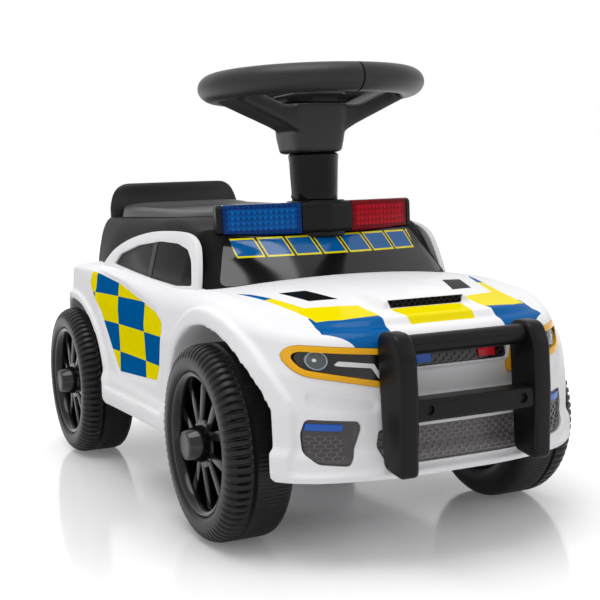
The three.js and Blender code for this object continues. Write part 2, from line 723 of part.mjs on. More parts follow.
addPair("headlamp_trim", letIn(HEADLAMP).subtract(facePrism(shrink(HEADLAMP, HEADLAMP_TRIM)))
  .intersect(trimLayer), AMBER);
addPair("headlamp", letIn(shrink(HEADLAMP, HEADLAMP_TRIM)).intersect(lampLayer), GLOSS_BLACK);
addPair("fog_lamp", letIn(FOG_LAMP).intersect(grilleLayer), GREY);
addPair("tail_lamp", letIn(TAIL_LAMP, rearPrism).intersect(lampLayer), LENS_RED);
add("upper_grille", letIn(UPPER_GRILLE).intersect(grilleLayer), GRILLE_BLACK);
add("lower_grille", letIn(LOWER_GRILLE).intersect(grilleLayer), GREY);
add(
  "scoop_grille",
  frontPrism(
    shapeOf(shrink(SCOOP_MOUTH, CLEARANCE)),
    SCOOP_FRONT_Y + LAMP_SET_BACK,
    SCOOP_FRONT_Y + SCOOP_MOUTH_DEPTH - CLEARANCE,
  ),
  GRILLE_BLACK,
);

// Cabin: roof, seat box and the panels on it
const HINGE_Y = SEAT_REAR_Y - 2;
const HINGE_Z = SEAT_Z - 1;
const HINGE_BARREL_RADIUS = 4.2;
const LID_REAR_Y = HINGE_Y - HINGE_BARREL_RADIUS - 1.5;
const TUB_FRONT_Y = SEAT_FRONT_Y + 14;
const TUB_REAR_Y = LID_REAR_Y - 12;
const barrel = (x0, x1) => rod([x0, HINGE_Y, HINGE_Z], [x1, HINGE_Y, HINGE_Z], HINGE_BARREL_RADIUS);
const pinHole = rod([-WIDE, HINGE_Y, HINGE_Z], [WIDE, HINGE_Y, HINGE_Z], HINGE_PIN_RADIUS + CLEARANCE);
const BUSH_RADIUS = 12;
const onColumn = (z) => [0, COLUMN_Y, z];

const cabinOuter = cabinSolid(0).subtract(bodySolid(-CLEARANCE));
const tubHole = (grow, z0) =>
  planPrism(
    roundedRectangle(
      -TUB_HALF_WIDTH - grow,
      TUB_HALF_WIDTH + grow,
      TUB_FRONT_Y - grow,
      TUB_REAR_Y + grow,
      TUB_CORNER,
    ),
    z0,
    WIDE * 2,
  );
const TUB_RIM_Z = SEAT_BED_Z - 2;
const bodyBarrels = union(
  barrel(-12, 12),
  box(-12, 12, HINGE_Y - HINGE_BARREL_RADIUS, HINGE_Y + HINGE_BARREL_RADIUS, SEAT_BED_Z - WALL, HINGE_Z),
  both(barrel(48, 62)),
  both(box(48, 62, HINGE_Y - HINGE_BARREL_RADIUS, HINGE_Y + HINGE_BARREL_RADIUS, SEAT_BED_Z - WALL, HINGE_Z)),
);
const cabin = cabinOuter
  .subtract(cabinSolid(WALL))
  .subtract(tubHole(CLEARANCE, CABIN_FOOT_Z))
  .subtract(tubHole(TUB_FLANGE + CLEARANCE, TUB_RIM_Z))
  .add(bodyBarrels)
  .subtract(pinHole)
  .subtract(rod(onColumn(CABIN_FOOT_Z), onColumn(WIDE * 2), BUSH_RADIUS + CLEARANCE));
add("cabin_top", cabin, BLACK);

const SCREEN_THICKNESS = 2;
const SCREEN_PANEL = [
  [-104, BELT_Z + 4],
  [104, BELT_Z + 4],
  [86, ROOF_Z - 3],
  [-86, ROOF_Z - 3],
];
const screenSkin = cabinSolid(0)
  .translate([0, -SCREEN_THICKNESS, 0])
  .subtract(cabinSolid(0).translate([0, -CLEARANCE, 0]))
  .subtract(bodySolid(-CLEARANCE));
const screen = screenSkin.intersect(frontPrism(shapeOf(SCREEN_PANEL), SCREEN_BASE_Y - 40, COLUMN_Y));
add("windscreen", screen, GLOSS_BLACK);
addPair("side_window", leaning(shrink(WINDOW_OUTLINE, CLEARANCE), -4, -1), GLOSS_BLACK);

const tub = planPrism(
  roundedRectangle(-TUB_HALF_WIDTH, TUB_HALF_WIDTH, TUB_FRONT_Y, TUB_REAR_Y, TUB_CORNER),
  TUB_FLOOR_Z,
  TUB_RIM_Z + CLEARANCE,
)
  .add(
    planPrism(
      roundedRectangle(
        -TUB_HALF_WIDTH - TUB_FLANGE,
        TUB_HALF_WIDTH + TUB_FLANGE,
        TUB_FRONT_Y - TUB_FLANGE,
        TUB_REAR_Y + TUB_FLANGE,
        TUB_CORNER,
      ),
      TUB_RIM_Z + CLEARANCE,
      SEAT_BED_Z - CLEARANCE,
    ),
  )
  .subtract(
    planPrism(
      roundedRectangle(
        -TUB_HALF_WIDTH + TUB_WALL,
        TUB_HALF_WIDTH - TUB_WALL,
        TUB_FRONT_Y + TUB_WALL,
        TUB_REAR_Y - TUB_WALL,
        TUB_CORNER - TUB_WALL,
      ),
      TUB_FLOOR_Z + TUB_WALL,
      SEAT_Z + WALL,
    ),
  );
add("storage_tub", tub, BLACK);

const lidRing = (inset, z) =>
  plateRing(SEAT_HALF_WIDTH - inset, SEAT_FRONT_Y + inset, LID_REAR_Y - inset, 24 - inset / 2, z);
const lid = skin([
  lidRing(0, SEAT_BED_Z + CLEARANCE),
  lidRing(0, SEAT_Z - 3),
  lidRing(3, SEAT_Z),
  lidRing(14, SEAT_Z - 0.5),
  lidRing(30, SEAT_Z - 2.5),
]);
const lidLug = union(
  barrel(16, 44),
  box(16, 44, LID_REAR_Y - 6, HINGE_Y, HINGE_Z - 3, HINGE_Z + 1),
);
add("seat_lid", lid.add(both(lidLug)).subtract(pinHole), BLACK);
const PIN_HALF_LENGTH = 60;
add(
  "hinge_pin",
  rod([-PIN_HALF_LENGTH, HINGE_Y, HINGE_Z], [PIN_HALF_LENGTH, HINGE_Y, HINGE_Z], HINGE_PIN_RADIUS),
  STEEL,
);
const BACKREST_Y = HINGE_Y + HINGE_BARREL_RADIUS + 1.5;
const backrest = skin([
  plateRing(75, BACKREST_Y, BACKREST_Y + 18, 7, SEAT_Z - 22),
  plateRing(74, BACKREST_Y + 0.5, BACKREST_Y + 18, 7, SEAT_Z + 3),
  plateRing(64, BACKREST_Y + 3, BACKREST_Y + 17, 6, SEAT_Z + BACKREST_HEIGHT - 6),
  plateRing(52, BACKREST_Y + 5, BACKREST_Y + 14, 4, SEAT_Z + BACKREST_HEIGHT),
]).subtract(cabinSolid(0).translate([0, 0, CLEARANCE]));
add("seat_backrest", backrest, BLACK);

// Floor pan with the posts that carry the front beam, the rear axle and the foot of the shaft
const PAN_TOP_Z = SILL_Z + FLOOR_THICKNESS;
const ARM_Z = LINK_Z + LINK_THICKNESS + CLEARANCE;
const ARM_THICKNESS = 6;
const ARM_HALF = 6.5;
const AXLE_BORE = AXLE_RADIUS + AXLE_CLEARANCE;
const beamPost = box(40, 58, FRONT_AXLE_Y - 9, FRONT_AXLE_Y + 9, SILL_Z, BEAM_Z - CLEARANCE);
const axleSaddle = box(56, 70, REAR_AXLE_Y - 12, REAR_AXLE_Y + 12, SILL_Z, AXLE_Z + 12);
const BATTERY_FRONT_Y = between(0.4577);
const BATTERY_BAY = [-28, 28, BATTERY_FRONT_Y, BATTERY_FRONT_Y + 66];
const bay = (grow, z0, z1) => {
  const [x0, x1, y0, y1] = BATTERY_BAY;
  return planPrism(roundedRectangle(x0 - grow, x1 + grow, y0 - grow, y1 + grow, 5), z0, z1, 1);
};
const pan = bodySolid(WALL + CLEARANCE)
  .intersect(box(-WIDE, WIDE, -LENGTH, LENGTH, 0, PAN_TOP_Z))
  .subtract(both(frontArch(WALL + CLEARANCE, FRONT_WELL_INNER_X - WALL - CLEARANCE, WIDE)))
  .subtract(both(rearArch(WALL + CLEARANCE, REAR_WELL_INNER_X - WALL - CLEARANCE, WIDE)))
  .subtract(bay(-3, 0, WIDE))
  .add(both(beamPost))
  .add(both(axleSaddle))
  .add(rod(onColumn(SILL_Z), onColumn(ARM_Z - CLEARANCE), SHAFT_RADIUS + 4))
  .subtract(rod(onColumn(PAN_TOP_Z - 1), onColumn(WIDE), SHAFT_RADIUS + AXLE_CLEARANCE))
  .subtract(rod([-WIDE, REAR_AXLE_Y, AXLE_Z], [WIDE, REAR_AXLE_Y, AXLE_Z], AXLE_BORE));
add("floor_pan", pan, WHITE);
add("battery_box", bay(0, PAN_TOP_Z + CLEARANCE, PAN_TOP_Z + 20).subtract(bay(-2, 0, PAN_TOP_Z + 18)), BLACK);
add("battery_cover", bay(-3 - CLEARANCE, SILL_Z - 0.5, SILL_Z + 3).add(
  bay(2, SILL_Z - 3, SILL_Z - CLEARANCE)), GREY);

const kingpinHole = rod(
  [KINGPIN_X, FRONT_AXLE_Y, 0],
  [KINGPIN_X, FRONT_AXLE_Y, WIDE],
  KINGPIN_RADIUS + AXLE_CLEARANCE,
);
const BEAM_END = KINGPIN_X + 9;
const beam = planPrism(
  roundedRectangle(-BEAM_END, BEAM_END, FRONT_AXLE_Y - 9, FRONT_AXLE_Y + 9, 8.9),
  BEAM_Z,
  BEAM_Z + BEAM_HEIGHT,
).subtract(both(kingpinHole));
add("axle_beam", beam, BLACK);

const axleRings = both(
  rod(
    [REAR_WELL_INNER_X + 1, REAR_AXLE_Y, AXLE_Z],
    [TYRE_OUTER_X - TYRE_WIDTH - CLEARANCE, REAR_AXLE_Y, AXLE_Z],
    AXLE_RADIUS + 3 - CLEARANCE,
  ),
);
add(
  "rear_axle",
  rod([-AXLE_END_X, REAR_AXLE_Y, AXLE_Z], [AXLE_END_X, REAR_AXLE_Y, AXLE_Z], AXLE_RADIUS).add(axleRings),
  STEEL,
);

// Steering: knuckles on the beam, the link between them, and the shaft with its crank
const armPlate = (x, y) =>
  planPrism(
    roundedRectangle(x - ARM_HALF, x + ARM_HALF, y - STEER_ARM - ARM_HALF, y + ARM_HALF, ARM_HALF - 0.1),
    ARM_Z,
    ARM_Z + ARM_THICKNESS,
  );
const linkPin = (x, y, grow = 0) =>
  rod([x, y - STEER_ARM, LINK_Z - 0.7 - grow], [x, y - STEER_ARM, ARM_Z + 1 + grow], LINK_PIN_RADIUS + grow);
const PIN_PLAY = 0.4;
const HEAD_Z = BEAM_Z + BEAM_HEIGHT + CLEARANCE;
const knuckle = union(
  rod([KINGPIN_X, FRONT_AXLE_Y, ARM_Z], [KINGPIN_X, FRONT_AXLE_Y, HEAD_Z + 3], KINGPIN_RADIUS),
  rod([KINGPIN_X, FRONT_AXLE_Y, HEAD_Z], [KINGPIN_X, FRONT_AXLE_Y, HEAD_Z + 3], KINGPIN_RADIUS + 3),
  rod([KINGPIN_X, FRONT_AXLE_Y, ARM_Z], [KINGPIN_X, FRONT_AXLE_Y, BEAM_Z - CLEARANCE], 9),
  rod([KINGPIN_X, FRONT_AXLE_Y, AXLE_Z], [AXLE_END_X, FRONT_AXLE_Y, AXLE_Z], AXLE_RADIUS),
  rod(
    [KINGPIN_X, FRONT_AXLE_Y, AXLE_Z],
    [TYRE_OUTER_X - TYRE_WIDTH - CLEARANCE, FRONT_AXLE_Y, AXLE_Z],
    AXLE_RADIUS + 3,
  ),
  armPlate(KINGPIN_X, FRONT_AXLE_Y),
  linkPin(KINGPIN_X, FRONT_AXLE_Y),
);
addPair("knuckle", knuckle, STEEL);

const linkHalf = KINGPIN_X + LINK_WIDTH / 2;
const crankPinY = COLUMN_Y - STEER_ARM;
const link = planPrism(
  roundedRectangle(-linkHalf, linkHalf, LINK_Y - LINK_WIDTH / 2, LINK_Y + LINK_WIDTH / 2, 7),
  LINK_Z,
  LINK_Z + LINK_THICKNESS,
)
  .add(
    planPrism(
      roundedRectangle(-LINK_WIDTH / 2, LINK_WIDTH / 2, LINK_Y, crankPinY + LINK_WIDTH / 2, 7),
      LINK_Z,
      LINK_Z + LINK_THICKNESS,
    ),
  )
  .subtract(both(linkPin(KINGPIN_X, FRONT_AXLE_Y, PIN_PLAY)))
  .subtract(linkPin(0, COLUMN_Y, PIN_PLAY));
add("steering_link", link, STEEL);

const HUB_TOP_Z = STEERING_WHEEL_Z - 15;
const MODULE_BAY_Z = HUB_TOP_Z - 13;
const shaft = union(
  rod(onColumn(PAN_TOP_Z - 1 + CLEARANCE), onColumn(MODULE_BAY_Z - 3), SHAFT_RADIUS),
  armPlate(0, COLUMN_Y),
  linkPin(0, COLUMN_Y),
);
add("steering_shaft", shaft, STEEL);
const shaftHole = rod(onColumn(0), onColumn(MODULE_BAY_Z - 3 + CLEARANCE), SHAFT_RADIUS + CLEARANCE);
add(
  "column_bush",
  rod(onColumn(ROOF_Z - 6), onColumn(ROOF_Z + 0.5), BUSH_RADIUS).subtract(shaftHole),
  GREY,
);
add(
  "steering_column",
  rod(onColumn(COLUMN_FOOT_Z), onColumn(HUB_FOOT_Z - CLEARANCE), COLUMN_FOOT_RADIUS, COLUMN_TOP_RADIUS, 16)
    .subtract(shaftHole),
  BLACK,
);

// Steering wheel: an oval-section rim, two raked spokes and the hub with its bay for the sound module
const HUB_HALF_WIDTH = 24;
const HUB_FRONT_Y = COLUMN_Y - 24;
const HUB_REAR_Y = COLUMN_Y + 34;
const rimSection = Array.from({ length: 8 }, (_, i) => {
  const angle = (2 * Math.PI * i) / 8;
  const middle = STEERING_WHEEL_RADIUS - RIM_TUBE_WIDTH / 2;
  return [(RIM_TUBE_HEIGHT / 2) * Math.sin(angle), middle + (RIM_TUBE_WIDTH / 2) * Math.cos(angle)];
});
const rimRing = turned(rimSection, 28).rotate([0, -90, 0]).translate(onColumn(STEERING_WHEEL_Z));
const spokeReach = STEERING_WHEEL_RADIUS - RIM_TUBE_WIDTH / 2;
const SPOKE_HALF = 21;
const SPOKE = [
  [HUB_HALF_WIDTH - 6, HUB_FOOT_Z + 14],
  [HUB_HALF_WIDTH + 8, HUB_FOOT_Z + 24],
  [spokeReach + 3, STEERING_WHEEL_Z - 9],
  [spokeReach, STEERING_WHEEL_Z + 4],
  [HUB_HALF_WIDTH + 8, HUB_TOP_Z],
  [HUB_HALF_WIDTH - 6, HUB_TOP_Z],
];
const hubRing = (grow, z) =>
  plateRing(HUB_HALF_WIDTH + grow, HUB_FRONT_Y - grow, HUB_REAR_Y + grow, 12, z);
const moduleBay = (grow, z0, z1) =>
  planPrism(
    roundedRectangle(
      -HUB_HALF_WIDTH + 4 - grow,
      HUB_HALF_WIDTH - 4 + grow,
      HUB_FRONT_Y + 4 - grow,
      HUB_REAR_Y - 4 + grow,
      8,
    ),
    z0,
    z1,
  );
const wheel = rimRing
  .add(skin([hubRing(-2, HUB_FOOT_Z), hubRing(0, HUB_FOOT_Z + 12), hubRing(2, HUB_TOP_Z)]))
  .add(both(frontPrism(shapeOf(SPOKE), COLUMN_Y - SPOKE_HALF, COLUMN_Y + SPOKE_HALF)))
  .subtract(moduleBay(0, MODULE_BAY_Z, WIDE * 2))
  .subtract(shaftHole);
add("steering_wheel", wheel, BLACK);
const MODULE_TOP_Z = HUB_TOP_Z - 6;
add("sound_module", moduleBay(-CLEARANCE, MODULE_BAY_Z + CLEARANCE, MODULE_TOP_Z), GREY);

const BUTTONS = [
  ["horn_button", 0, HUB_REAR_Y - 18, 10],
  ["music_button_left", 11, HUB_FRONT_Y + 15, 6],
  ["music_button_right", -11, HUB_FRONT_Y + 15, 6],
];
const COVER_Z = HUB_TOP_Z + CLEARANCE;
const COVER_THICKNESS = 4;
const COVER_LIP_Z = COVER_Z + 8;
const buttonRod = ([, x, y, radius], grow, z0, z1) =>
  rod([x, y, z0], [x, y, z1], radius + grow, undefined, 12);
const cover = BUTTONS.reduce(
  (plate, button) => plate.subtract(buttonRod(button, AXLE_CLEARANCE, 0, WIDE * 2)),
  skin([
    hubRing(2, COVER_Z),
    hubRing(2, COVER_LIP_Z - 2),
    hubRing(0.5, COVER_LIP_Z),
    hubRing(-2, COVER_LIP_Z),
    hubRing(-4, COVER_Z + COVER_THICKNESS),
  ]),
);
add("hub_cover", cover, BLACK);
for (const button of BUTTONS) {
  const foot = MODULE_TOP_Z + BUTTON_TRAVEL + CLEARANCE;
  const flange = buttonRod(button, 1.5, foot, COVER_Z - CLEARANCE);
  const top = COVER_Z + COVER_THICKNESS + BUTTON_TRAVEL + 0.5;
  add(button[0], buttonRod(button, 0, foot, top).add(flange), LENS_BLUE);
}

// Light bar: two swept halves with end caps, a collar block round the column, and lenses over lamp strips
// A half is drawn along +X from the middle with its front at Y = 0, then swept back
const swept = (shape) => shape.rotate([0, 0, LIGHT_BAR_SWEEP]).translate([0, LIGHT_BAR_FRONT_Y, 0]);
const TRAY_Z = LIGHT_BAR_Z + 4;
const LENS_X1 = LIGHT_BAR_REACH - 5;
const LENS_X0 = LENS_X1 - LENS_LENGTH;
const LENS_WALL = 2.5;
const barSection = roundedRectangle(0, LIGHT_BAR_DEPTH, LIGHT_BAR_Z, LIGHT_BAR_TOP_Z, 5);
const overRoof = union(
  cabinSolid(0).translate([0, 0, CLEARANCE]),
  cabinSolid(0).translate([0, -SCREEN_THICKNESS - CLEARANCE, 0]),
);
const lensBay = (grow, top) =>
  box(
    LENS_X0 + grow,
    LENS_X1 - grow,
    grow - CLEARANCE,
    LIGHT_BAR_DEPTH - grow + CLEARANCE,
    TRAY_Z + (grow ? CLEARANCE : 0),
    top,
  );
const lens = swept(
  sidePrism(barSection, 0, LIGHT_BAR_REACH, 3)
    .intersect(lensBay(CLEARANCE, WIDE * 2))
    .subtract(lensBay(LENS_WALL + CLEARANCE, LIGHT_BAR_TOP_Z - LENS_WALL).translate([0, 0, -CLEARANCE])),
)
  .subtract(box(-WIDE, COLLAR_HALF_WIDTH + CLEARANCE, -WIDE, WIDE, 0, WIDE * 2))
  .subtract(overRoof);
const columnHole = rod(
  onColumn(COLUMN_FOOT_Z - CLEARANCE),
  onColumn(WIDE * 2),
  COLUMN_TOP_RADIUS + 0.8,
  undefined,
  16,
);
const collar = planPrism(
  roundedRectangle(
    -COLLAR_HALF_WIDTH,
    COLLAR_HALF_WIDTH,
    LIGHT_BAR_FRONT_Y + 4,
    COLUMN_Y + COLLAR_HALF_WIDTH,
    9,
  ),
  LIGHT_BAR_Z - 4,
  LIGHT_BAR_TOP_Z + 1,
  3,
);
const barHalf = swept(sidePrism(barSection, 0, LIGHT_BAR_REACH, 3).subtract(lensBay(0, WIDE * 2)));
const barBase = both(barHalf)
  .add(collar)
  .subtract(columnHole)
  .subtract(shaftHole)
  .subtract(rod(onColumn(0), onColumn(ROOF_Z + 1), BUSH_RADIUS + CLEARANCE))
  .subtract(overRoof);
add("light_bar_base", barBase, BLACK);
add("light_lens_red", lens, LENS_RED);
add("light_lens_blue", lens.mirror([1, 0, 0]), LENS_BLUE);
const strip = swept(lensBay(8, TRAY_Z + 6)).subtract(overRoof);
addPair("lamp_strip", strip, WHITE);

// Bull bar: two raked posts with round edges, a cross tube and a cross plate
const POST_EDGE = 3;
const postShape = shapeOf([
  [FRONT_Y + POST_EDGE + 3, POST_FOOT_Z + POST_EDGE],
  [FRONT_Y + POST_DEPTH + 4, POST_FOOT_Z + POST_EDGE + 6],
  [FRONT_Y + POST_DEPTH + 8, POST_TOP_Z - POST_EDGE - 8],
  [FRONT_Y + POST_DEPTH + 4, POST_TOP_Z - POST_EDGE],
  [FRONT_Y + POST_EDGE + 10, POST_TOP_Z - POST_EDGE],
  [FRONT_Y + POST_EDGE + 8, POST_TOP_Z - POST_EDGE - 6],
  [FRONT_Y + POST_EDGE, POST_FOOT_Z + 50],
]);
const postGeometry = new THREE.ExtrudeGeometry(postShape, {
  depth: POST_WIDTH - 2 * POST_EDGE,
  bevelThickness: POST_EDGE,
  bevelSize: POST_EDGE,
  bevelSegments: 2,
});
postGeometry.applyMatrix4(SIDE_VIEW).translate(POST_X - POST_WIDTH / 2 + POST_EDGE, 0, 0);
const nose = bodySolid(-CLEARANCE);
addPair("bull_bar_post", solid(postGeometry).subtract(nose), BLACK);
const crossHalf = POST_X - POST_WIDTH / 2 - CLEARANCE;
const CROSS_Y = FRONT_Y + 17;
add(
  "bull_bar_tube",
  rod([-crossHalf, CROSS_Y, CROSS_TUBE_Z], [crossHalf, CROSS_Y, CROSS_TUBE_Z], CROSS_TUBE_RADIUS),
  BLACK,
);
add(
  "bull_bar_plate",
  sidePrism(
    roundedRectangle(FRONT_Y + 3, CROSS_Y + 6, CROSS_PLATE_Z, CROSS_PLATE_Z + CROSS_PLATE_HEIGHT, 3),
    -crossHalf,
    crossHalf,
    2,
  ),
  BLACK,
);

// Wheels, drawn about the X axis with the outer face towards +X
const TYRE_INNER_X = TYRE_OUTER_X - TYRE_WIDTH;
const TYRE = [
  [TYRE_INNER_X + 3, TYRE_BORE_RADIUS],
  [TYRE_OUTER_X - 4, TYRE_BORE_RADIUS],
  [TYRE_OUTER_X - 4, RIM_MOUTH_RADIUS],
  [TYRE_OUTER_X, RIM_MOUTH_RADIUS + 3],
  [TYRE_OUTER_X, WHEEL_RADIUS - 8],
  [TYRE_OUTER_X - 6, WHEEL_RADIUS - 1],
  [TYRE_OUTER_X - 17.5, WHEEL_RADIUS],
  [TYRE_OUTER_X - 19, WHEEL_RADIUS - TREAD_DEPTH],
  [TYRE_OUTER_X - 20.5, WHEEL_RADIUS],
  [TYRE_INNER_X + 5, WHEEL_RADIUS - 1],
  [TYRE_INNER_X, WHEEL_RADIUS - 8],
];
const LUG_BAND = TYRE_OUTER_X - 18;
const lugged = (along, radius, turn) =>
  along > LUG_BAND && radius > WHEEL_RADIUS - 2 && turn % 2 === 1 ? radius - TREAD_DEPTH : radius;
const tyre = turned(TYRE, 2 * TREAD_LUGS, lugged);
const BARREL_RADIUS = TYRE_BORE_RADIUS * Math.cos(Math.PI / (2 * TREAD_LUGS)) - CLEARANCE;
const LIP_X = TYRE_OUTER_X - 4 + CLEARANCE;
const RIM_SIDES = 16;
const rimBarrel = turned(
  [
    [TYRE_INNER_X + 3, BARREL_RADIUS - 3],
    [LIP_X + 2, BARREL_RADIUS - 2],
    [LIP_X + 2, RIM_MOUTH_RADIUS - 2 * CLEARANCE],
    [LIP_X, RIM_MOUTH_RADIUS - 2 * CLEARANCE],
    [LIP_X, BARREL_RADIUS],
    [TYRE_INNER_X + 3, BARREL_RADIUS],
  ],
  RIM_SIDES,
);
// One window between two spokes, from the hub to the barrel
function spokeWindow(middle, halfFoot, halfHead) {
  const at = (radius, angle) => [radius * Math.cos(angle), radius * Math.sin(angle)];
  return shapeOf([
    at(HUB_RADIUS + 4, middle - halfFoot),
    at(BARREL_RADIUS - 3.5, middle - halfHead),
    at(BARREL_RADIUS - 3.5, middle + halfHead),
    at(HUB_RADIUS + 4, middle + halfFoot),
  ]);
}
const pairPitch = (2 * Math.PI) / SPOKE_PAIRS;
const windows = Array.from({ length: SPOKE_PAIRS }, (_, i) => [
  spokeWindow(i * pairPitch, 0.1, 0.13),
  spokeWindow((i + 0.5) * pairPitch, 0.22, 0.34),
]).flat();
const star = new THREE.Shape().absarc(0, 0, BARREL_RADIUS - 2, 0, 2 * Math.PI);
star.holes.push(...windows);
const axleHoleX = rod([0, 0, 0], [WIDE, 0, 0], AXLE_BORE);
const rim = rimBarrel
  .add(sidePrism(star, SPOKE_FACE_X - SPOKE_DEPTH, SPOKE_FACE_X, RIM_SIDES / 2))
  .add(rod([TYRE_INNER_X, 0, 0], [SPOKE_FACE_X, 0, 0], HUB_RADIUS))
  .subtract(axleHoleX);
const CAP_END_X = SPOKE_FACE_X + HUB_CAP_REACH;
const CAP_CHAMFER = 2;
const CAP_TIP_RADIUS = HUB_CAP_RADIUS - CAP_CHAMFER;
const hubCap = turned(
  [
    [SPOKE_FACE_X + CLEARANCE, AXLE_BORE],
    [SPOKE_FACE_X + CLEARANCE, HUB_CAP_RADIUS],
    [CAP_END_X - CAP_CHAMFER, CAP_TIP_RADIUS],
    [CAP_END_X, CAP_TIP_RADIUS - CAP_CHAMFER],
    [CAP_END_X, 0.01],
    [AXLE_END_X + 1, 0.01],
    [AXLE_END_X + 1, AXLE_BORE],
  ],
  RIM_SIDES,
);
const WHEEL_PLACES = [
  ["front_left", 1, FRONT_AXLE_Y],
  ["front_right", -1, FRONT_AXLE_Y],
  ["rear_left", 1, REAR_AXLE_Y],
  ["rear_right", -1, REAR_AXLE_Y],
];
for (const [corner, side, y] of WHEEL_PLACES) {
  const group = new THREE.Group();
  group.position.set(0, y, AXLE_Z);
  group.rotation.z = side > 0 ? 0 : Math.PI;
  group.add(node(`tyre_${corner}`, tyre, TYRE_BLACK));
  group.add(node(`rim_${corner}`, rim, GLOSS_BLACK));
  group.add(node(`hub_cap_${corner}`, hubCap, BLACK));
  root.add(group);
}

export default root;
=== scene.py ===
"""Looks of a toddler's ride-on patrol car: glossy white shell, black cabin, checks, wheels and lamps."""
import json
import math

import bpy
from mathutils import Matrix, Vector


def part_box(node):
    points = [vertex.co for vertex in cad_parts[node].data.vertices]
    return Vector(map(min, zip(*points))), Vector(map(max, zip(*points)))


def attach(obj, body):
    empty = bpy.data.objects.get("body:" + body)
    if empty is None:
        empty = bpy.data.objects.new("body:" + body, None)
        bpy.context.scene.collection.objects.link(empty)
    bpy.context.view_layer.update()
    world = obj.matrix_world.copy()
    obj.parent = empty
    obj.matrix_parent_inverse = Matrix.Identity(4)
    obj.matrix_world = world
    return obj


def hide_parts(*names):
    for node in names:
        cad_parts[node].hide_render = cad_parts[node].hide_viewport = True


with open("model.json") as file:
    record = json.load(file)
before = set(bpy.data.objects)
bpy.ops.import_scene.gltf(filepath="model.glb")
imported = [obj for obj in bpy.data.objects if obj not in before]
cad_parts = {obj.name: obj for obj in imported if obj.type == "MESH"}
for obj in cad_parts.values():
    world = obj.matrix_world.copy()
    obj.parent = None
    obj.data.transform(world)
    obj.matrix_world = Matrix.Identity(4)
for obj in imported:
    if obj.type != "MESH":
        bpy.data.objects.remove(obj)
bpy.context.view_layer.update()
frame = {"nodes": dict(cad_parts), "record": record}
MM = 0.001
SMOOTH_ANGLE = math.radians(40)

# Places taken from the frame, in millimetres
FRONT_AXLE_Y = 1000 * sum(corner.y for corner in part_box("rim_front_left")) / 2
REAR_AXLE_Y = 1000 * sum(corner.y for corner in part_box("rim_rear_left")) / 2
AXLE_Z = 1000 * sum(corner.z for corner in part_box("rim_front_left")) / 2
COLUMN_Y = 1000 * sum(corner.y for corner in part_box("steering_column")) / 2
NOSE_Y = 1000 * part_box("front_bumper")[0].y
REAR_LIP = 6
TAIL_Y = 1000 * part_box("body_shell")[1].y - REAR_LIP
SILL_Z = 1000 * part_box("floor_pan")[0].z
POST_FRONT_Y = 1000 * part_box("bull_bar_post_left")[0].y


# Modelling tools
def deselect():
    if bpy.context.object and bpy.context.object.mode != "OBJECT":
        bpy.ops.object.mode_set(mode="OBJECT")
    bpy.ops.object.select_all(action="DESELECT")


def pick(piece):
    deselect()
    bpy.context.view_layer.objects.active = piece
    piece.select_set(True)


def weld(piece, distance=1e-6):
    """Merges doubled points and turns all faces outwards."""
    pick(piece)
    bpy.ops.object.mode_set(mode="EDIT")
    bpy.ops.mesh.select_all(action="SELECT")
    bpy.ops.mesh.remove_doubles(threshold=distance)
    bpy.ops.mesh.normals_make_consistent(inside=False)
    bpy.ops.object.mode_set(mode="OBJECT")
    return piece


def sheet(name, columns, rows, place):
    """A grid whose points go where place(u, v) says, in millimetres."""
    deselect()
    bpy.ops.mesh.primitive_grid_add(x_subdivisions=columns, y_subdivisions=rows, size=1)
    piece = bpy.context.object
    piece.name = piece.data.name = name
    for point in piece.data.vertices:
        u = min(1, max(0, point.co.x + 0.5))
        v = min(1, max(0, point.co.y + 0.5))
        point.co = Vector(place(u, v)) * MM
    return weld(piece)


def turned(name, profile, steps, axis, centre=(0, 0, 0), shape=None):
    """A ring or disc turned about an axis from [along, radius] points that close on themselves."""
    def place(u, v):
        along, radius = profile[round(v * (len(profile) - 1))]
        angle = 2 * math.pi * u
        if shape:
            along, radius = shape(along, radius, angle)
        a, b = radius * math.cos(angle), radius * math.sin(angle)
        spot = {"X": (along, a, b), "Y": (a, along, b), "Z": (a, b, along)}[axis]
        return [s + c for s, c in zip(spot, centre)]
    return sheet(name, steps, len(profile) - 1, place)


def rod(name, low, high, radius, steps, axis="Z", centre=(0, 0, 0)):
    """A plain round bar, or the bore that it cuts."""
    return turned(name, [(low, 0), (low, radius), (high, radius), (high, 0)], steps, axis, centre)


def drawn_out(piece, way):
    """Draws a flat or curved sheet out into a closed solid."""
    pick(piece)
    bpy.ops.object.mode_set(mode="EDIT")
    bpy.ops.mesh.select_all(action="SELECT")
    bpy.ops.mesh.extrude_region_move(TRANSFORM_OT_translate={"value": Vector(way) * MM})
    bpy.ops.object.mode_set(mode="OBJECT")
    return weld(piece)


VIEWS = {"side": ((0, 1, 0), (0, 0, 1), (1, 0, 0)), "front": ((1, 0, 0), (0, 0, 1), (0, 1, 0)),
         "plan": ((1, 0, 0), (0, 1, 0), (0, 0, 1))}


def slab(name, outline, view, low, high):
    """An outline of points in side view (y, z), front view (x, z) or plan (x, y), drawn out to a solid."""
    first, second, out = (Vector(axis) for axis in VIEWS[view])
    deselect()
    bpy.ops.mesh.primitive_circle_add(vertices=len(outline), radius=1, fill_type="NGON")
    piece = bpy.context.object
    piece.name = piece.data.name = name
    for point, (a, b) in zip(piece.data.vertices, outline):
        point.co = (first * a + second * b + out * low) * MM
    return drawn_out(piece, out * (high - low))


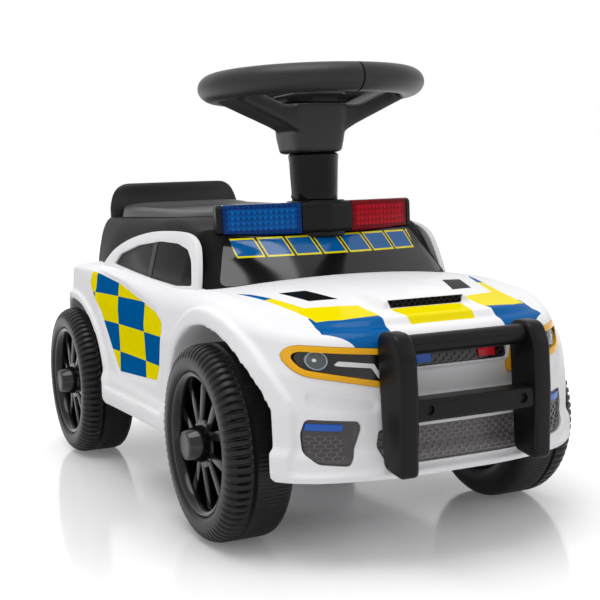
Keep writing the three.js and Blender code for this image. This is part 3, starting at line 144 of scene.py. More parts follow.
def rounded(corners, radius, steps=4):
    """The outline of a polygon with its corners rounded by short curves."""
    outline = []
    count = len(corners)
    for i, corner in enumerate(corners):
        here = Vector(corner)
        ends = []
        for other in (corners[i - 1], corners[(i + 1) % count]):
            way = Vector(other) - here
            ends.append(here + way.normalized() * min(radius, way.length * 0.45))
        for k in range(steps + 1):
            t = k / steps
            outline.append(tuple(ends[0] * (1 - t) ** 2 + here * 2 * t * (1 - t) + ends[1] * t * t))
    return outline


def winding(corners):
    """1 for a polygon that runs anticlockwise, else -1."""
    area = sum(a[0] * b[1] - b[0] * a[1] for a, b in zip([corners[-1], *corners], corners))
    return 1 if area > 0 else -1


def inset(corners, by):
    """A polygon moved inwards by a distance, or outwards by a negative one."""
    count = len(corners)
    turn = by * winding(corners)
    moved = []
    for i in range(count):
        here = Vector(corners[i])
        into = (here - Vector(corners[i - 1])).normalized()
        onward = (Vector(corners[(i + 1) % count]) - here).normalized()
        miter = turn / (1 + into.dot(onward))
        moved.append((here.x - (into.y + onward.y) * miter, here.y + (into.x + onward.x) * miter))
    return moved


def apply(piece, kind, **settings):
    pick(piece)
    modifier = piece.modifiers.new(kind.title(), kind)
    for setting, value in settings.items():
        setattr(modifier, setting, value)
    bpy.ops.object.modifier_apply(modifier=modifier.name)
    return piece


def combine(piece, others, operation):
    for other in others:
        apply(piece, "BOOLEAN", object=other, operation=operation, solver="EXACT")
        bpy.data.objects.remove(other)
    return piece


def cut(piece, *others):
    return combine(piece, others, "DIFFERENCE")


def fuse(piece, *others):
    return combine(piece, others, "UNION")


def limit(piece, *others):
    return combine(piece, others, "INTERSECT")


def join(first, *others):
    deselect()
    for other in others:
        other.select_set(True)
    first.select_set(True)
    bpy.context.view_layer.objects.active = first
    bpy.ops.object.join()
    return first


def copy(piece, name):
    pick(piece)
    bpy.ops.object.duplicate()
    twin = bpy.context.object
    twin.name = twin.data.name = name
    return twin


def moved(piece, offset):
    for point in piece.data.vertices:
        point.co += Vector(offset) * MM
    return piece


def mirrored(piece, name):
    """A twin on the car's other side."""
    twin = copy(piece, name)
    for point in twin.data.vertices:
        point.co.x = -point.co.x
    return weld(twin, 1e-8)


def bevelled(piece, width, segments=2, angle=35):
    return apply(piece, "BEVEL", width=width * MM, segments=segments, limit_method="ANGLE",
                 angle_limit=math.radians(angle), harden_normals=False)


def moulded(piece, voxel, passes):
    """Melts joined solids into one skin with soft edges, as a moulding has."""
    apply(piece, "REMESH", mode="VOXEL", voxel_size=voxel * MM)
    return apply(piece, "SMOOTH", factor=0.5, iterations=passes)


def done(piece, body, slot, material, *nodes):
    """Finishes a piece: smooth shading, its material, its body, and the nodes that it stands for."""
    pick(piece)
    bpy.ops.object.shade_smooth_by_angle(angle=SMOOTH_ANGLE)
    piece.data.materials.clear()
    piece.data.materials.append(material)
    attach(piece, body)
    if nodes:
        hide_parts(*nodes)
    return piece


def pair(piece, body, slot, material, *nodes):
    """Finishes a piece of the left side and its mirrored twin, with the nodes' names without their sides."""
    twin = mirrored(piece, piece.name + "_right")
    piece.name = piece.data.name = piece.name + "_left"
    done(piece, body, slot, material, *[node + "_left" for node in nodes])
    done(twin, body, slot, material, *[node + "_right" for node in nodes])


# Shader maths as expressions
class Wire:
    """A shader socket that can be added, multiplied and compared like a number."""
    tree = None

    def __init__(self, socket):
        self.socket = socket

    @classmethod
    def node(cls, kind, inputs=None, output=0, **settings):
        made = cls.tree.nodes.new(kind)
        for name, value in settings.items():
            setattr(made, name, value)
        for name, value in (inputs or {}).items():
            socket = made.inputs[name]
            if isinstance(value, Wire):
                cls.tree.links.new(value.socket, socket)
            else:
                socket.default_value = value
        return cls(made.outputs[output])

    def math(self, operation, other=0.0):
        return Wire.node("ShaderNodeMath", {0: self, 1: other}, operation=operation)

    def __add__(self, other):
        return self.math("ADD", other)

    def __sub__(self, other):
        return self.math("SUBTRACT", other)

    def __rsub__(self, other):
        return Wire.node("ShaderNodeMath", {0: other, 1: self}, operation="SUBTRACT")

    def __mul__(self, other):
        return self.math("MULTIPLY", other)

    def __truediv__(self, other):
        return self.math("DIVIDE", other)

    def __gt__(self, other):
        return self.math("GREATER_THAN", other)

    def __lt__(self, other):
        return self.math("LESS_THAN", other)

    def __mod__(self, other):
        return self.math("FLOORED_MODULO", other)

    __radd__ = __add__
    __rmul__ = __mul__

    def size(self):
        return self.math("ABSOLUTE")

    def either(self, other):
        return self.math("MAXIMUM", other)

    def both(self, other):
        return self.math("MINIMUM", other)


def mix(share, low, high):
    """A colour between two colours."""
    return Wire.node("ShaderNodeMix", {0: share, 6: low, 7: high}, output=2, data_type="RGBA")


def colour(red, green, blue):
    """A colour given as it shows on screen, from 0 to 255."""
    linear = []
    for part in (red, green, blue):
        share = part / 255
        linear.append(share / 12.92 if share <= 0.04045 else ((share + 0.055) / 1.055) ** 2.4)
    return (*linear, 1)


def place_axes():
    """The object's own x, y and z in millimetres."""
    spot = Wire.node("ShaderNodeTexCoord", output=3)
    split = Wire.node("ShaderNodeSeparateXYZ", {0: spot})
    sockets = split.socket.node.outputs
    return spot, [Wire(socket) * 1000 for socket in sockets]


def noise(spot, scale, detail=3.0):
    return Wire.node("ShaderNodeTexNoise", {"Vector": spot, "Scale": scale, "Detail": detail})


def within(a, b, corners):
    """1 inside a convex polygon in the plane of two coordinates, else 0."""
    turn = winding(corners)
    inside = None
    for i, (a1, b1) in enumerate(corners):
        a0, b0 = corners[i - 1]
        reach = turn * math.hypot(a1 - a0, b1 - b0)
        edge = (b - b0) * ((a1 - a0) / reach) - (a - a0) * ((b1 - b0) / reach)
        inside = edge if inside is None else inside.both(edge)
    return inside > 0


def start_material(name):
    material = bpy.data.materials.new(name)
    material.use_nodes = True
    Wire.tree = material.node_tree
    return material, material.node_tree.nodes["Principled BSDF"]


def feed(shader, **values):
    """Sets or links a shader's sockets by their names, with _ for a space."""
    for name, value in values.items():
        socket = shader.inputs[name.replace("_", " ")]
        if isinstance(value, Wire):
            Wire.tree.links.new(value.socket, socket)
        else:
            socket.default_value = value


def bump(height, strength, distance):
    return Wire.node("ShaderNodeBump", {"Height": height, "Strength": strength, "Distance": distance})


WHITE = colour(243, 243, 245)
BLUE = colour(0, 92, 158)
YELLOW = colour(240, 222, 0)


def moulded_plastic(name, base, roughness, grain=0.0, coat=0.0, shine=0.5):
    """Plastic with faint drifts of colour and gloss, and a fine moulded grain."""
    material, shader = start_material(name)
    spot, _ = place_axes()
    drift = noise(spot, 9.0)
    dark = tuple(c * 0.9 for c in base[:3]) + (1,)
    feed(shader, Base_Color=mix(drift, dark, base), Roughness=drift * 0.12 + (roughness - 0.06))
    if grain:
        feed(shader, Normal=bump(noise(spot, 900.0, 2.0), grain, 0.0003))
    feed(shader, Coat_Weight=coat, Coat_Roughness=0.06, Specular_IOR_Level=shine)
    return material


def plated_steel(name, dark, bright):
    material, shader = start_material(name)
    spot, _ = place_axes()
    scratch = noise(spot, 240.0, 5.0)
    shades = [colour(shade, shade, shade) for shade in (dark, bright)]
    feed(shader, Base_Color=mix(scratch, *shades), Metallic=1.0, Roughness=scratch * 0.25 + 0.22)
    return material


def livery():
    """Glossy white with printed checks on the sides and bars of colour on the bonnet."""
    material, shader = start_material("shell_livery")
    spot, (x, y, z) = place_axes()
    side = x.size()
    drift = noise(spot, 7.0)
    paint = mix(drift, tuple(c * 0.96 for c in WHITE[:3]) + (1,), WHITE)
    body = within(y, z, CHECKS)
    flick = within(y, z, [(120, 187), (130, 146), (137, 153.5), (165, 171), (154, 190)])
    checks = body.either(flick).both(side > 116)
    lean = y + (z - 140) * 0.17
    column = (lean > 4) + (lean > 84) + (lean > 152)
    row = (z > 117) + (z > 143.5) + (z > 170)
    odd = (column + row) % 2
    checked = mix(odd, YELLOW, BLUE)
    paint = mix(checks, paint, checked)
    top = z > 150
    tip = within(side, y, [(106, -153), (99, -164), (91, -187), (97, -188)])
    strip = within(side, y, [(97, -187), (91, -187), (81, -223), (91, -224)])
    bar = within(side, y, [(91, -223), (81, -222), (45, -236), (44, -266), (72, -263), (88, -254)])
    under = within(side, y, [(90, -245), (44, -255), (47, -292), (70, -288), (92, -270)])
    patch = within(side, y, [(-1, -258), (30, -258), (26.5, -280), (-1, -280)])
    vent = within(side, y, [(81, -177), (61, -182), (50, -215), (71, -209)]).both(top)
    blue_bars = tip.either(under).both(top)
    yellow_bars = strip.either(bar).either(patch).both(top)
    paint = mix(blue_bars, paint, BLUE)
    paint = mix(yellow_bars, paint, YELLOW)
    paint = mix(vent, paint, colour(22, 22, 23))
    feed(shader, Base_Color=paint, Roughness=drift * 0.08 + 0.24, Specular_IOR_Level=0.0,
         Coat_Weight=top.both(side < 112) * 0.2, Coat_Roughness=0.12)
    return material


def tinted_glass():
    """A dark pane, paler towards its foot: a painted reflection of the bright floor."""
    material, shader = start_material("tinted_glass")
    spot, (_, _, z) = place_axes()
    streak = noise(spot, 14.0)
    # Painted reflection of the floor: the pane's colour pales from its top down to its foot
    share = (z - 186) / 44
    feed(shader, Base_Color=mix(share, colour(26, 25, 26), colour(10, 10, 11)),
         Roughness=streak * 0.05 + 0.2, Specular_IOR_Level=0.02)
    return material


def windscreen_print():
    """A gloss black screen with a printed band of plain blue and yellow blocks."""
    material, shader = start_material("windscreen_print")
    spot, (x, _, z) = place_axes()
    streak = noise(spot, 12.0)
    dark = mix(streak, colour(14, 14, 15), colour(22, 22, 24))
    band = (z > 209).both(z < 224.5).both(x.size() < 84)
    cell = (x + 84 + (z - 209) * 0.2) / 24
    from_middle = ((cell % 1) - 0.5).size()
    inner = (from_middle < 0.41).both(z > 210.4).both(z < 223.1)
    frame_part = (from_middle < 0.46).both(band)
    paint = mix(frame_part, dark, YELLOW)
    paint = mix(inner.both(band), paint, BLUE)
    feed(shader, Base_Color=paint, Roughness=streak * 0.06 + 0.07, Specular_IOR_Level=0.35)
    return material


def ribbed_lens(name, deep, bright):
    """Clear coloured plastic with rows of arrowhead prisms behind its skin, shown by painted highlights in
    paler bands of the tint.
    """
    material, shader = start_material(name)
    spot, (x, y, z) = place_axes()
    wave = ((x / 4.4) % 1 - 0.5).size() * 2
    prism = ((z + wave * 2.4) / 4.6) % 1
    glow = noise(spot, 60.0)
    run = x.size() * math.cos(BAR_SWEEP) + (y - BAR_FRONT_Y) * math.sin(BAR_SWEEP)
    # Painted shade: the tint is deeper in a band round the lens's edges, paler in its middle
    inner = (run > LENS_X0 + 5).both(run < LENS_X1 - 5).both(z > BAR_Z + 4.5).both(z < BAR_TOP_Z - 4)
    share = (prism * 0.85 + glow * 0.5) * (wave * 0.6 + 0.4) * (inner * 0.75 + 0.25)
    tint = mix(share, deep, bright)
    # A faint painted glow in the lens's own tint
    feed(shader, Base_Color=tint, Roughness=glow * 0.08 + 0.08, Specular_IOR_Level=0.08,
         Emission_Color=tint, Emission_Strength=0.08)
    return material


def cap_faces():
    """Glossy black hub caps with a matt grey outer face."""
    material, shader = start_material("hub_caps")
    spot, (x, _, _) = place_axes()
    drift = noise(spot, 30.0)
    face = x.size() > CAP_FACE_X
    feed(shader, Base_Color=mix(face, colour(14, 14, 15), colour(62, 60, 60)),
         Roughness=face * 0.32 + drift * 0.08 + 0.1, Specular_IOR_Level=0.4)
    return material


def grip_black():
    """Satin black with a fine mould line round the steering wheel's rim."""
    material, shader = start_material("grip_black")
    spot, (_, _, z) = place_axes()
    grain = noise(spot, 900.0, 2.0)
    line = (z - RIM_Z).size() < 0.4
    feed(shader, Base_Color=mix(grain, colour(36, 35, 36), colour(42, 41, 42)), Roughness=grain * 0.1 + 0.36,
         Specular_IOR_Level=0.25, Normal=bump(grain * 0.3 + line, 0.3, 0.0004))
    return material


# Stage
def camera():
    yaw, pitch, roll = math.radians(25.33), math.radians(5.25), math.radians(-2.23)
    place = Vector((-446.6, -987.0, 260.8)) * MM
    ahead = Vector((math.sin(yaw) * math.cos(pitch), math.cos(yaw) * math.cos(pitch), -math.sin(pitch)))
    right = Vector((math.cos(yaw), -math.sin(yaw), 0))
    up = right.cross(ahead)
    tilted_right = right * math.cos(roll) + up * math.sin(roll)
    tilted_up = up * math.cos(roll) - right * math.sin(roll)
    data = bpy.data.cameras.new("photo_camera")
    data.sensor_width, data.lens = 36, 70.76
    eye = bpy.data.objects.new("photo_camera", data)
    turn = Matrix((tilted_right, tilted_up, -ahead)).transposed()
    eye.matrix_world = Matrix.Translation(place) @ turn.to_4x4()
    bpy.context.scene.collection.objects.link(eye)
    bpy.context.scene.camera = eye


def softbox(name, spot, size, power):
    data = bpy.data.lights.new(name, "AREA")
    data.shape, data.size, data.energy = "DISK", size, power
    lamp = bpy.data.objects.new(name, data)
    lamp.location = spot
    lamp.rotation_euler = (Vector((0, 0, 0.15)) - Vector(spot)).to_track_quat("-Z", "Y").to_euler()
    bpy.context.scene.collection.objects.link(lamp)


def seen():
    """1 for rays from the camera, straight or by way of gloss or glass, else 0."""
    path = Wire.tree.nodes.new("ShaderNodeLightPath").outputs
    straight, gloss, glass = (Wire(path[f"Is {kind} Ray"]) for kind in ("Camera", "Glossy", "Transmission"))
    return straight.either(gloss).either(glass)


def studio():
    scene = bpy.context.scene
    scene.view_settings.view_transform = "Standard"
    world = bpy.data.worlds.new("studio")
    scene.world = world
    world.use_nodes = True
    Wire.tree = world.node_tree
    feed(Wire.tree.nodes["Background"], Color=mix(seen(), (0.52, 0.52, 0.52, 1), (1, 1, 1, 1)), Strength=1)
    softbox("overhead", (-0.3, -0.3, 1.9), 1.5, 22)
    softbox("side_fill", (-1.9, -0.5, 0.9), 1.2, 1.5)
    softbox("far_fill", (1.5, -1.6, 1.1), 1.0, 3)
    deselect()
    bpy.ops.mesh.primitive_plane_add(size=14)
    floor = bpy.context.object
    floor.name = "floor"
    material, shader = start_material("pale_floor")
    _, (x, y, _) = place_axes()
    # Painted shade round the car: the floor's glow for the camera fades almost to nothing near the car and
    # reaches full strength further out
    away = ((x * x + y * y * 0.55).math("SQRT") - 130) / 370
    glow = mix(away.both(1).either(0), (0.02, 0.02, 0.02, 1), (0.64, 0.64, 0.64, 1))
    feed(shader, Base_Color=(0.86, 0.86, 0.87, 1), Roughness=0.12,
         Emission_Color=mix(seen(), (0, 0, 0, 1), glow), Emission_Strength=1)
    floor.data.materials.append(material)


# Body shell, drawn as a half outline in plan with heights and tucks along it
def through(points, t):
    """A smooth curve through points, at t from 0 to 1."""
    last = len(points) - 1
    i = min(int(t * last), last - 1)
    w = t * last - i
    p = [Vector(points[min(max(k, 0), last)]) for k in (i - 1, i, i + 1, i + 2)]
    return 0.5 * (2 * p[1] + (p[2] - p[0]) * w + (2 * p[0] - 5 * p[1] + 4 * p[2] - p[3]) * w * w
                  + (3 * p[1] - p[0] - 3 * p[2] + p[3]) * w ** 3)


def along(stations, at):
    """A smooth reading of [place, value] stations."""
    if at <= stations[0][0]:
        return stations[0][1]
    if at >= stations[-1][0]:
        return stations[-1][1]
    i = next(k for k in range(1, len(stations)) if stations[k][0] >= at)
    slope = []
    for k in (i - 1, i):
        low, high = stations[max(k - 1, 0)], stations[min(k + 1, len(stations) - 1)]
        slope.append((high[1] - low[1]) / (high[0] - low[0]))
    (a, start), (b, end) = stations[i - 1], stations[i]
    w, span = (at - a) / (b - a), b - a
    return ((2 * w ** 3 - 3 * w * w + 1) * start + (w ** 3 - 2 * w * w + w) * span * slope[0]
            + (3 * w * w - 2 * w ** 3) * end + (w ** 3 - w * w) * span * slope[1])


HALF_WIDTH, SHOULDER_INSET, SIDE_TUCK = 133, 15, 1.5
OUTLINE = [
    (0, NOSE_Y), (38, NOSE_Y + 1), (74, NOSE_Y + 8), (100, NOSE_Y + 22), (118, NOSE_Y + 45),
    (HALF_WIDTH - 3, NOSE_Y + 72), (HALF_WIDTH + 3, FRONT_AXLE_Y - 30), (HALF_WIDTH + 4, FRONT_AXLE_Y + 5),
    (HALF_WIDTH + 2, FRONT_AXLE_Y + 75), (HALF_WIDTH, FRONT_AXLE_Y + 150),
    (HALF_WIDTH - 1, REAR_AXLE_Y - 130), (HALF_WIDTH + 1, REAR_AXLE_Y - 50), (HALF_WIDTH + 2, REAR_AXLE_Y),
    (HALF_WIDTH - 2, REAR_AXLE_Y + 50), (HALF_WIDTH - 10, TAIL_Y - 26), (108, TAIL_Y - 8), (66, TAIL_Y - 1),
    (0, TAIL_Y),
]
# Along the body, [y, height, share or tuck]
SHOULDER = [(NOSE_Y, 148), (NOSE_Y + 40, 155), (FRONT_AXLE_Y, 167), (FRONT_AXLE_Y + 60, 166), (-48, 163),
            (-9, 171), (70, 184), (150, 190), (REAR_AXLE_Y + 40, 188), (TAIL_Y, 168)]
RISE = [(NOSE_Y, 17), (NOSE_Y + 40, 12), (FRONT_AXLE_Y, 15), (-48, 21), (-9, 15), (70, 7), (150, 4),
        (TAIL_Y, 6)]
CROWN = [(NOSE_Y, 3), (NOSE_Y + 40, 8), (-135, 8.5), (0, 6), (TAIL_Y, 3)]
SWELL = [(NOSE_Y + 8, 0), (NOSE_Y + 38, 1), (NOSE_Y + 70, 0.8), (FRONT_AXLE_Y, 0)]
TAIL_TUCK = [(REAR_AXLE_Y + 10, 0), (REAR_AXLE_Y + 40, 9), (REAR_AXLE_Y + 62, 16), (TAIL_Y - 10, 20),
             (TAIL_Y, 20)]
# Up the side, [share of the height, tuck, swell of the nose, share of the tail's tuck]
SIDE_ROWS = [(0, 4, 7, 0), (0.03, 1, 7, 0), (0.06, 0, 7, 0), (0.2, 0, 7, 0), (0.26, 3, 7, 0.1),
             (0.5, 2.4, 7, 0.2), (0.8, 0, 3, 0.5), (0.9, 0.6, 1, 0.8), (1, SIDE_TUCK, 0, 1)]
BODY_COLUMNS, SHOULDER_STEPS, TOP_STEPS = 240, 6, 8
MOST_TUCK = 20


def top_height(x, y):
    share = min(1, abs(x) / (HALF_WIDTH - SHOULDER_INSET))
    return along(SHOULDER, y) + along(RISE, y) + along(CROWN, y) * (1 - share * share)


def body_solid(name, depth=0.0, foot=SILL_Z + 1):
    """The closed form of the shell, at a depth under its surface, from a foot upwards."""
    def rim(s, tuck, swell, corner, height):
        here = through(OUTLINE, s)
        run = through(OUTLINE, min(1, s + 0.004)) - through(OUTLINE, max(0, s - 0.004))
        out = Vector((run.y, -run.x)).normalized()
        if s in (0, 1):
            out = Vector((0, -1 if s == 0 else 1))
        spot = here - out * min(MOST_TUCK, tuck + depth - swell * along(SWELL, here.y))
        narrow = 1 - corner * along(TAIL_TUCK, here.y) / HALF_WIDTH
        return [0 if s in (0, 1) else max(0, spot.x * narrow), spot.y, height(here.y)]

    _, *low_edge = SIDE_ROWS[0]
    rows = [lambda s: [0, rim(s, *low_edge, lambda y: foot)[1], foot],
            lambda s: rim(s, *low_edge, lambda y: foot)]
    for share, *edge_forms in SIDE_ROWS:
        def side(s, share=share, forms=edge_forms):
            return rim(s, *forms, lambda y: SILL_Z + 1 + share * (along(SHOULDER, y) - SILL_Z - 1 - depth))
        rows.append(side)
    for step in range(1, SHOULDER_STEPS + 1):
        turn = math.pi / 2 * step / SHOULDER_STEPS
        def shoulder(s, turn=turn):
            tuck = SIDE_TUCK + (SHOULDER_INSET - SIDE_TUCK) * (1 - math.cos(turn))
            return rim(s, tuck, 0, 1, lambda y: along(SHOULDER, y) + along(RISE, y) * math.sin(turn) - depth)
        rows.append(shoulder)
    edge = rows[-1]
    for step in range(1, TOP_STEPS + 1):
        def top(s, share=step / TOP_STEPS):
            x, y, _ = edge(s)
            spine = min(max(y, NOSE_Y + 50), TAIL_Y - 30)
            px, py = x * (1 - share), y + (spine - y) * share
            return [px, py, top_height(px, py) - depth]
        rows.append(top)

    def place(u, v):
        row = rows[round(v * (len(rows) - 1))]
        s = 2 * u if u <= 0.5 else 2 - 2 * u
        x, y, z = row(round(s, 6))
        return (x if u <= 0.5 else -x), y, z
    return sheet(name, BODY_COLUMNS, len(rows) - 1, place)


def both_sides(piece):
    return join(piece, mirrored(piece, piece.name + "_twin"))


def oblong(a, b):
    """The corners of a rectangle between two pairs of places."""
    return [(a[0], b[0]), (a[1], b[0]), (a[1], b[1]), (a[0], b[1])]


def block(name, x, y, z):
    """A plain block between pairs of places."""
    return slab(name, oblong(x, y), "plan", *z)


def full_width(name, y, z):
    return block(name, (-WIDE, WIDE), y, z)


# Arches: [y, z, radius, reach to the front]
FRONT_ARCH = (FRONT_AXLE_Y, SILL_Z, 104, 90)
REAR_ARCH = (REAR_AXLE_Y, AXLE_Z, 85, 85)
FRONT_WELL_X, REAR_WELL_X = 66, 92
WALL = 7
WIDE = 200
FLARE_PROUD, FLARE_INNER_X, SPLITTER_PROUD, SILL_PROUD = 3.7, 96.3, 3.5, 4
LOW_FOOT = SILL_Z - 5
PLATE_DEPTH, CHEEK_DEPTH, DOOR_DEPTH, RECESS_DEPTH = 5, 2, 1.6, 6
CHECKS = [(150, 189), (122, 187), (73, 182), (-6, 168), (-30, 163.5), (-47, 156.5), (-48.6, 150), (-30, 114),
          (-20, 103), (92, 97.4), (114.4, 121), (136, 153)]


def arch(place, grow, x0):
    """The space of a pair of wheel arches, from x0 outwards."""
    y, z = place[:2]
    radius, reach = place[2] + grow, place[3] + grow
    turns = [math.pi * k / 48 for k in range(49)]
    outline = [(y + max(radius * math.cos(turn), -reach), z + radius * math.sin(turn)) for turn in turns]
    outline += [(y - reach, 0), (y + radius, 0)]
    return both_sides(slab("arch", outline, "side", x0, WIDE))


# Outlines in front view, (x, z) on the car's left where they come in pairs
HEADLAMP = [(45, 140), (52, 152), (111, 157), (118, 148.5), (110, 136), (54, 124.5), (46, 126)]
UPPER_GRILLE = [(-44.5, 137.5), (44.5, 137.5), (44, 149.5), (-44, 149.5)]
LOWER_GRILLE = [(-56, 71), (56, 71), (62, 84), (60, 96), (-60, 96), (-62, 84)]
FOG_LAMP = [(80, 72), (101, 74.5), (109, 82), (110, 96), (107, 106), (73, 103), (71, 98)]
CHEEK = [(60, 108), (70, 108.5), (100, 110.5), (107, 119), (104, 126), (60, 117)]
PLATE_RECESS = [(-52, 116), (52, 116), (53, 130), (46, 136), (-46, 136), (-53, 130)]
TAIL_LAMP = [(62, 126), (104, 128), (112, 136), (110, 148), (64, 146)]
SCOOP_FRONT_Y, SCOOP_REAR_Y = NOSE_Y + 38, -150
SCOOP_HALF, SCOOP_HEIGHT = 33, 7.5
SCOOP_FOOT = top_height(0, SCOOP_FRONT_Y)
MOUTH_FOOT, MOUTH_TOP = SCOOP_FOOT + 0.5, SCOOP_FOOT + SCOOP_HEIGHT - 1.2
SCOOP_MOUTH = [(3 - SCOOP_HALF, MOUTH_FOOT), (SCOOP_HALF - 3, MOUTH_FOOT), (SCOOP_HALF - 1, MOUTH_TOP),
               (1 - SCOOP_HALF, MOUTH_TOP)]
NOSE_REACH = (NOSE_Y - 60, FRONT_AXLE_Y - 45)


def nose(outline, radius=3):
    """A front outline drawn through the nose."""
    return slab("nose", rounded(outline, radius), "front", *NOSE_REACH)


def tail(outline, radius=3):
    """A front outline drawn through the tail."""
    return slab("tail", rounded(outline, radius), "front", REAR_AXLE_Y + 60, TAIL_Y + 60)


def let_in(name, cutter, front, back):
    """A part that fills an opening between two depths under the body's surface."""
    cutter.name = cutter.data.name = name
    limit(cutter, body_solid("front_face", front))
    return cut(cutter, body_solid("back_face", back))


def scoop():
    """The raised middle of the bonnet, open at its front."""
    length = SCOOP_FRONT_Y - SCOOP_REAR_Y

    def place(u, v):
        y = SCOOP_REAR_Y + length * min(1, v / 0.95)
        share = (y - SCOOP_REAR_Y) / length
        half = SCOOP_HALF - 6 + 8 * share
        rise = SCOOP_HEIGHT * share * share * (3 - 2 * share) - 0.4
        edge = 1 - abs(2 * u - 1)
        x = (2 * u - 1) * (half + 5)
        ease = min(1, edge * (half + 5) / 7)
        lift = rise * ease * ease * (3 - 2 * ease)
        low = v > 0.95
        return x, y, top_height(x, y) - 6 if low or v == 0 or u in (0, 1) else top_height(x, y) + lift
    return drawn_out(sheet("scoop", 44, 40, place), (0, 0, -12))


def bodywork(material):
    """The shell and bumper as one moulding with soft edges."""
    hull = body_solid("shell_look")
    for place, grow in ((FRONT_ARCH, 13), (REAR_ARCH, 8)):
        flare = limit(body_solid("flare", -FLARE_PROUD, LOW_FOOT), arch(place, grow, FLARE_INNER_X))
        cut(flare, full_width("nose_limit", (NOSE_Y - 20, NOSE_Y + 20), (0, WIDE)))
        fuse(hull, flare)
    for name, proud, foot, y, z in (
            ("rear_lip", REAR_LIP, SILL_Z + 1, (REAR_AXLE_Y + 85, TAIL_Y + 60), (147, 162)),
            ("splitter", SPLITTER_PROUD, LOW_FOOT, (NOSE_Y - 30, FRONT_AXLE_Y - 88),
             (SILL_Z - 2, SILL_Z + 7)),
            ("sill", SILL_PROUD, LOW_FOOT, (FRONT_AXLE_Y + 90, REAR_AXLE_Y - 85), (SILL_Z - 3, SILL_Z + 18))):
        fuse(hull, limit(body_solid(name, -proud, foot), full_width(name + "_reach", y, z)))
    cut(hull, full_width("below", (-3 * WIDE, 3 * WIDE), (0, SILL_Z + 1.2)))
    fuse(hull, scoop())
    cut(hull, cut(nose(PLATE_RECESS), body_solid("plate_floor", PLATE_DEPTH)))
    cut(hull, cut(both_sides(nose(CHEEK, 5)), body_solid("cheek_floor", CHEEK_DEPTH)))
    door = slab("door", rounded(inset(CHECKS, -4), 5), "side", HALF_WIDTH - 40, WIDE)
    cut(hull, cut(both_sides(door), body_solid("door_floor", DOOR_DEPTH)))
    cut(hull, arch(FRONT_ARCH, 0, FRONT_WELL_X), arch(REAR_ARCH, 0, REAR_WELL_X))
    moulded(hull, 1.5, 7)
    apply(hull, "DECIMATE", ratio=0.4)
    for recess in (nose(UPPER_GRILLE), nose(LOWER_GRILLE), both_sides(nose(HEADLAMP, 7)),
                   both_sides(nose(FOG_LAMP)), both_sides(tail(TAIL_LAMP))):
        cut(hull, cut(recess, body_solid("recess_floor", RECESS_DEPTH)))
    cut(hull, slab("mouth", SCOOP_MOUTH, "front", SCOOP_FRONT_Y - 9, SCOOP_FRONT_Y + 8))
    core = body_solid("core", WALL, SILL_Z - 20)
    cut(core, arch(FRONT_ARCH, WALL, FRONT_WELL_X - WALL), arch(REAR_ARCH, WALL, REAR_WELL_X - WALL))
    cut(hull, core)
    hole = [(-98, -109), (98, -109), (98, 160), (70, 273), (-70, 273), (-98, 160)]
    cut(hull, slab("cabin_hole", hole, "plan", 147, 300))
    cut(hull, block("link_slot", (-100, 100), (FRONT_AXLE_Y - 52, FRONT_AXLE_Y + 18), (20, 112)))
    return done(hull, "chassis", "white_plastic", material, "body_shell", "front_bumper")


# Window frames and side windows, drawn in side view and leant inwards
FRAME = [(-101, 160), (-99, 188), (-92, 213), (-83, 224), (-63, 230.5), (-29, 232), (27, 230.5), (79, 225),
         (120, 217), (148, 208), (176, 192), (190, 172), (196, 160)]
WINDOW = [(-87, 188), (-80, 208), (-69, 217), (-43, 221.5), (4, 222.5), (66, 217.5), (118, 208), (134, 198),
          (66, 192.5), (16, 189), (-47, 186)]
BELT_Z, FRAME_FOOT_X = 184, 118
FRAME_LEAN = math.atan2(8, 48)


def curve(points, steps):
    return [tuple(through(points, k / steps)) for k in range(steps + 1)]


def leant(name, outline, inner, outer):
    """A slab in side view, leant in over the left belt line."""
    piece = slab(name, outline, "side", inner, outer)
    for point in piece.data.vertices:
        x, z = point.co.x, point.co.z - BELT_Z * MM
        point.co.x = x * math.cos(FRAME_LEAN) - z * math.sin(FRAME_LEAN) + FRAME_FOOT_X * MM
        point.co.z = x * math.sin(FRAME_LEAN) + z * math.cos(FRAME_LEAN) + BELT_Z * MM
    return piece


def window_pieces():
    frame_piece = leant("window_frame", curve(FRAME, 60), -5, 0.3)
    cut(frame_piece, leant("window_hole", rounded(WINDOW, 4), -20, 20))
    bevelled(frame_piece, 1.6, 3)
    pane = leant("window_pane", rounded(inset(WINDOW, 0.3), 4), -4, -1.6)
    bevelled(pane, 0.5)
    pillar = leant("window_pillar", [(22, 187), (32, 189), (22, 224), (12, 224)], -4, -1.2)
    limit(pillar, leant("pillar_limit", inset(WINDOW, 0.4), -20, 20))
    pair(frame_piece, "chassis", "white_plastic", SHELL_WHITE)
    pair(pane, "chassis", "gloss_black", GLASS, "side_window")
    pair(pillar, "chassis", "black_plastic", SATIN_BLACK)


def beside(z):
    """Half the cabin's width, inside the window frames."""
    return FRAME_FOOT_X - 5.4 - (z - BELT_Z) / 6


BED_Z, CABIN_FOOT_Z = 240.7, 160
# Cabin: [y, top, half width of the top, height of the side, half width of the side]
CABIN = [(-142, 185, 88, 177, beside(177)), (-92, 229, 92, 217, beside(217)),
         (-60, 233, 95, 228, beside(228)), (-4, BED_Z, 92, 230, beside(230)),
         (60, BED_Z, 90, 225, beside(225)), (120, BED_Z, 87, 214, beside(214)),
         (176, BED_Z, 84, 194, beside(194)), (240, BED_Z, 80, 194, 100), (272, BED_Z - 3, 74, 192, 92),
         (283, BED_Z - 26, 66, 188, 82)]


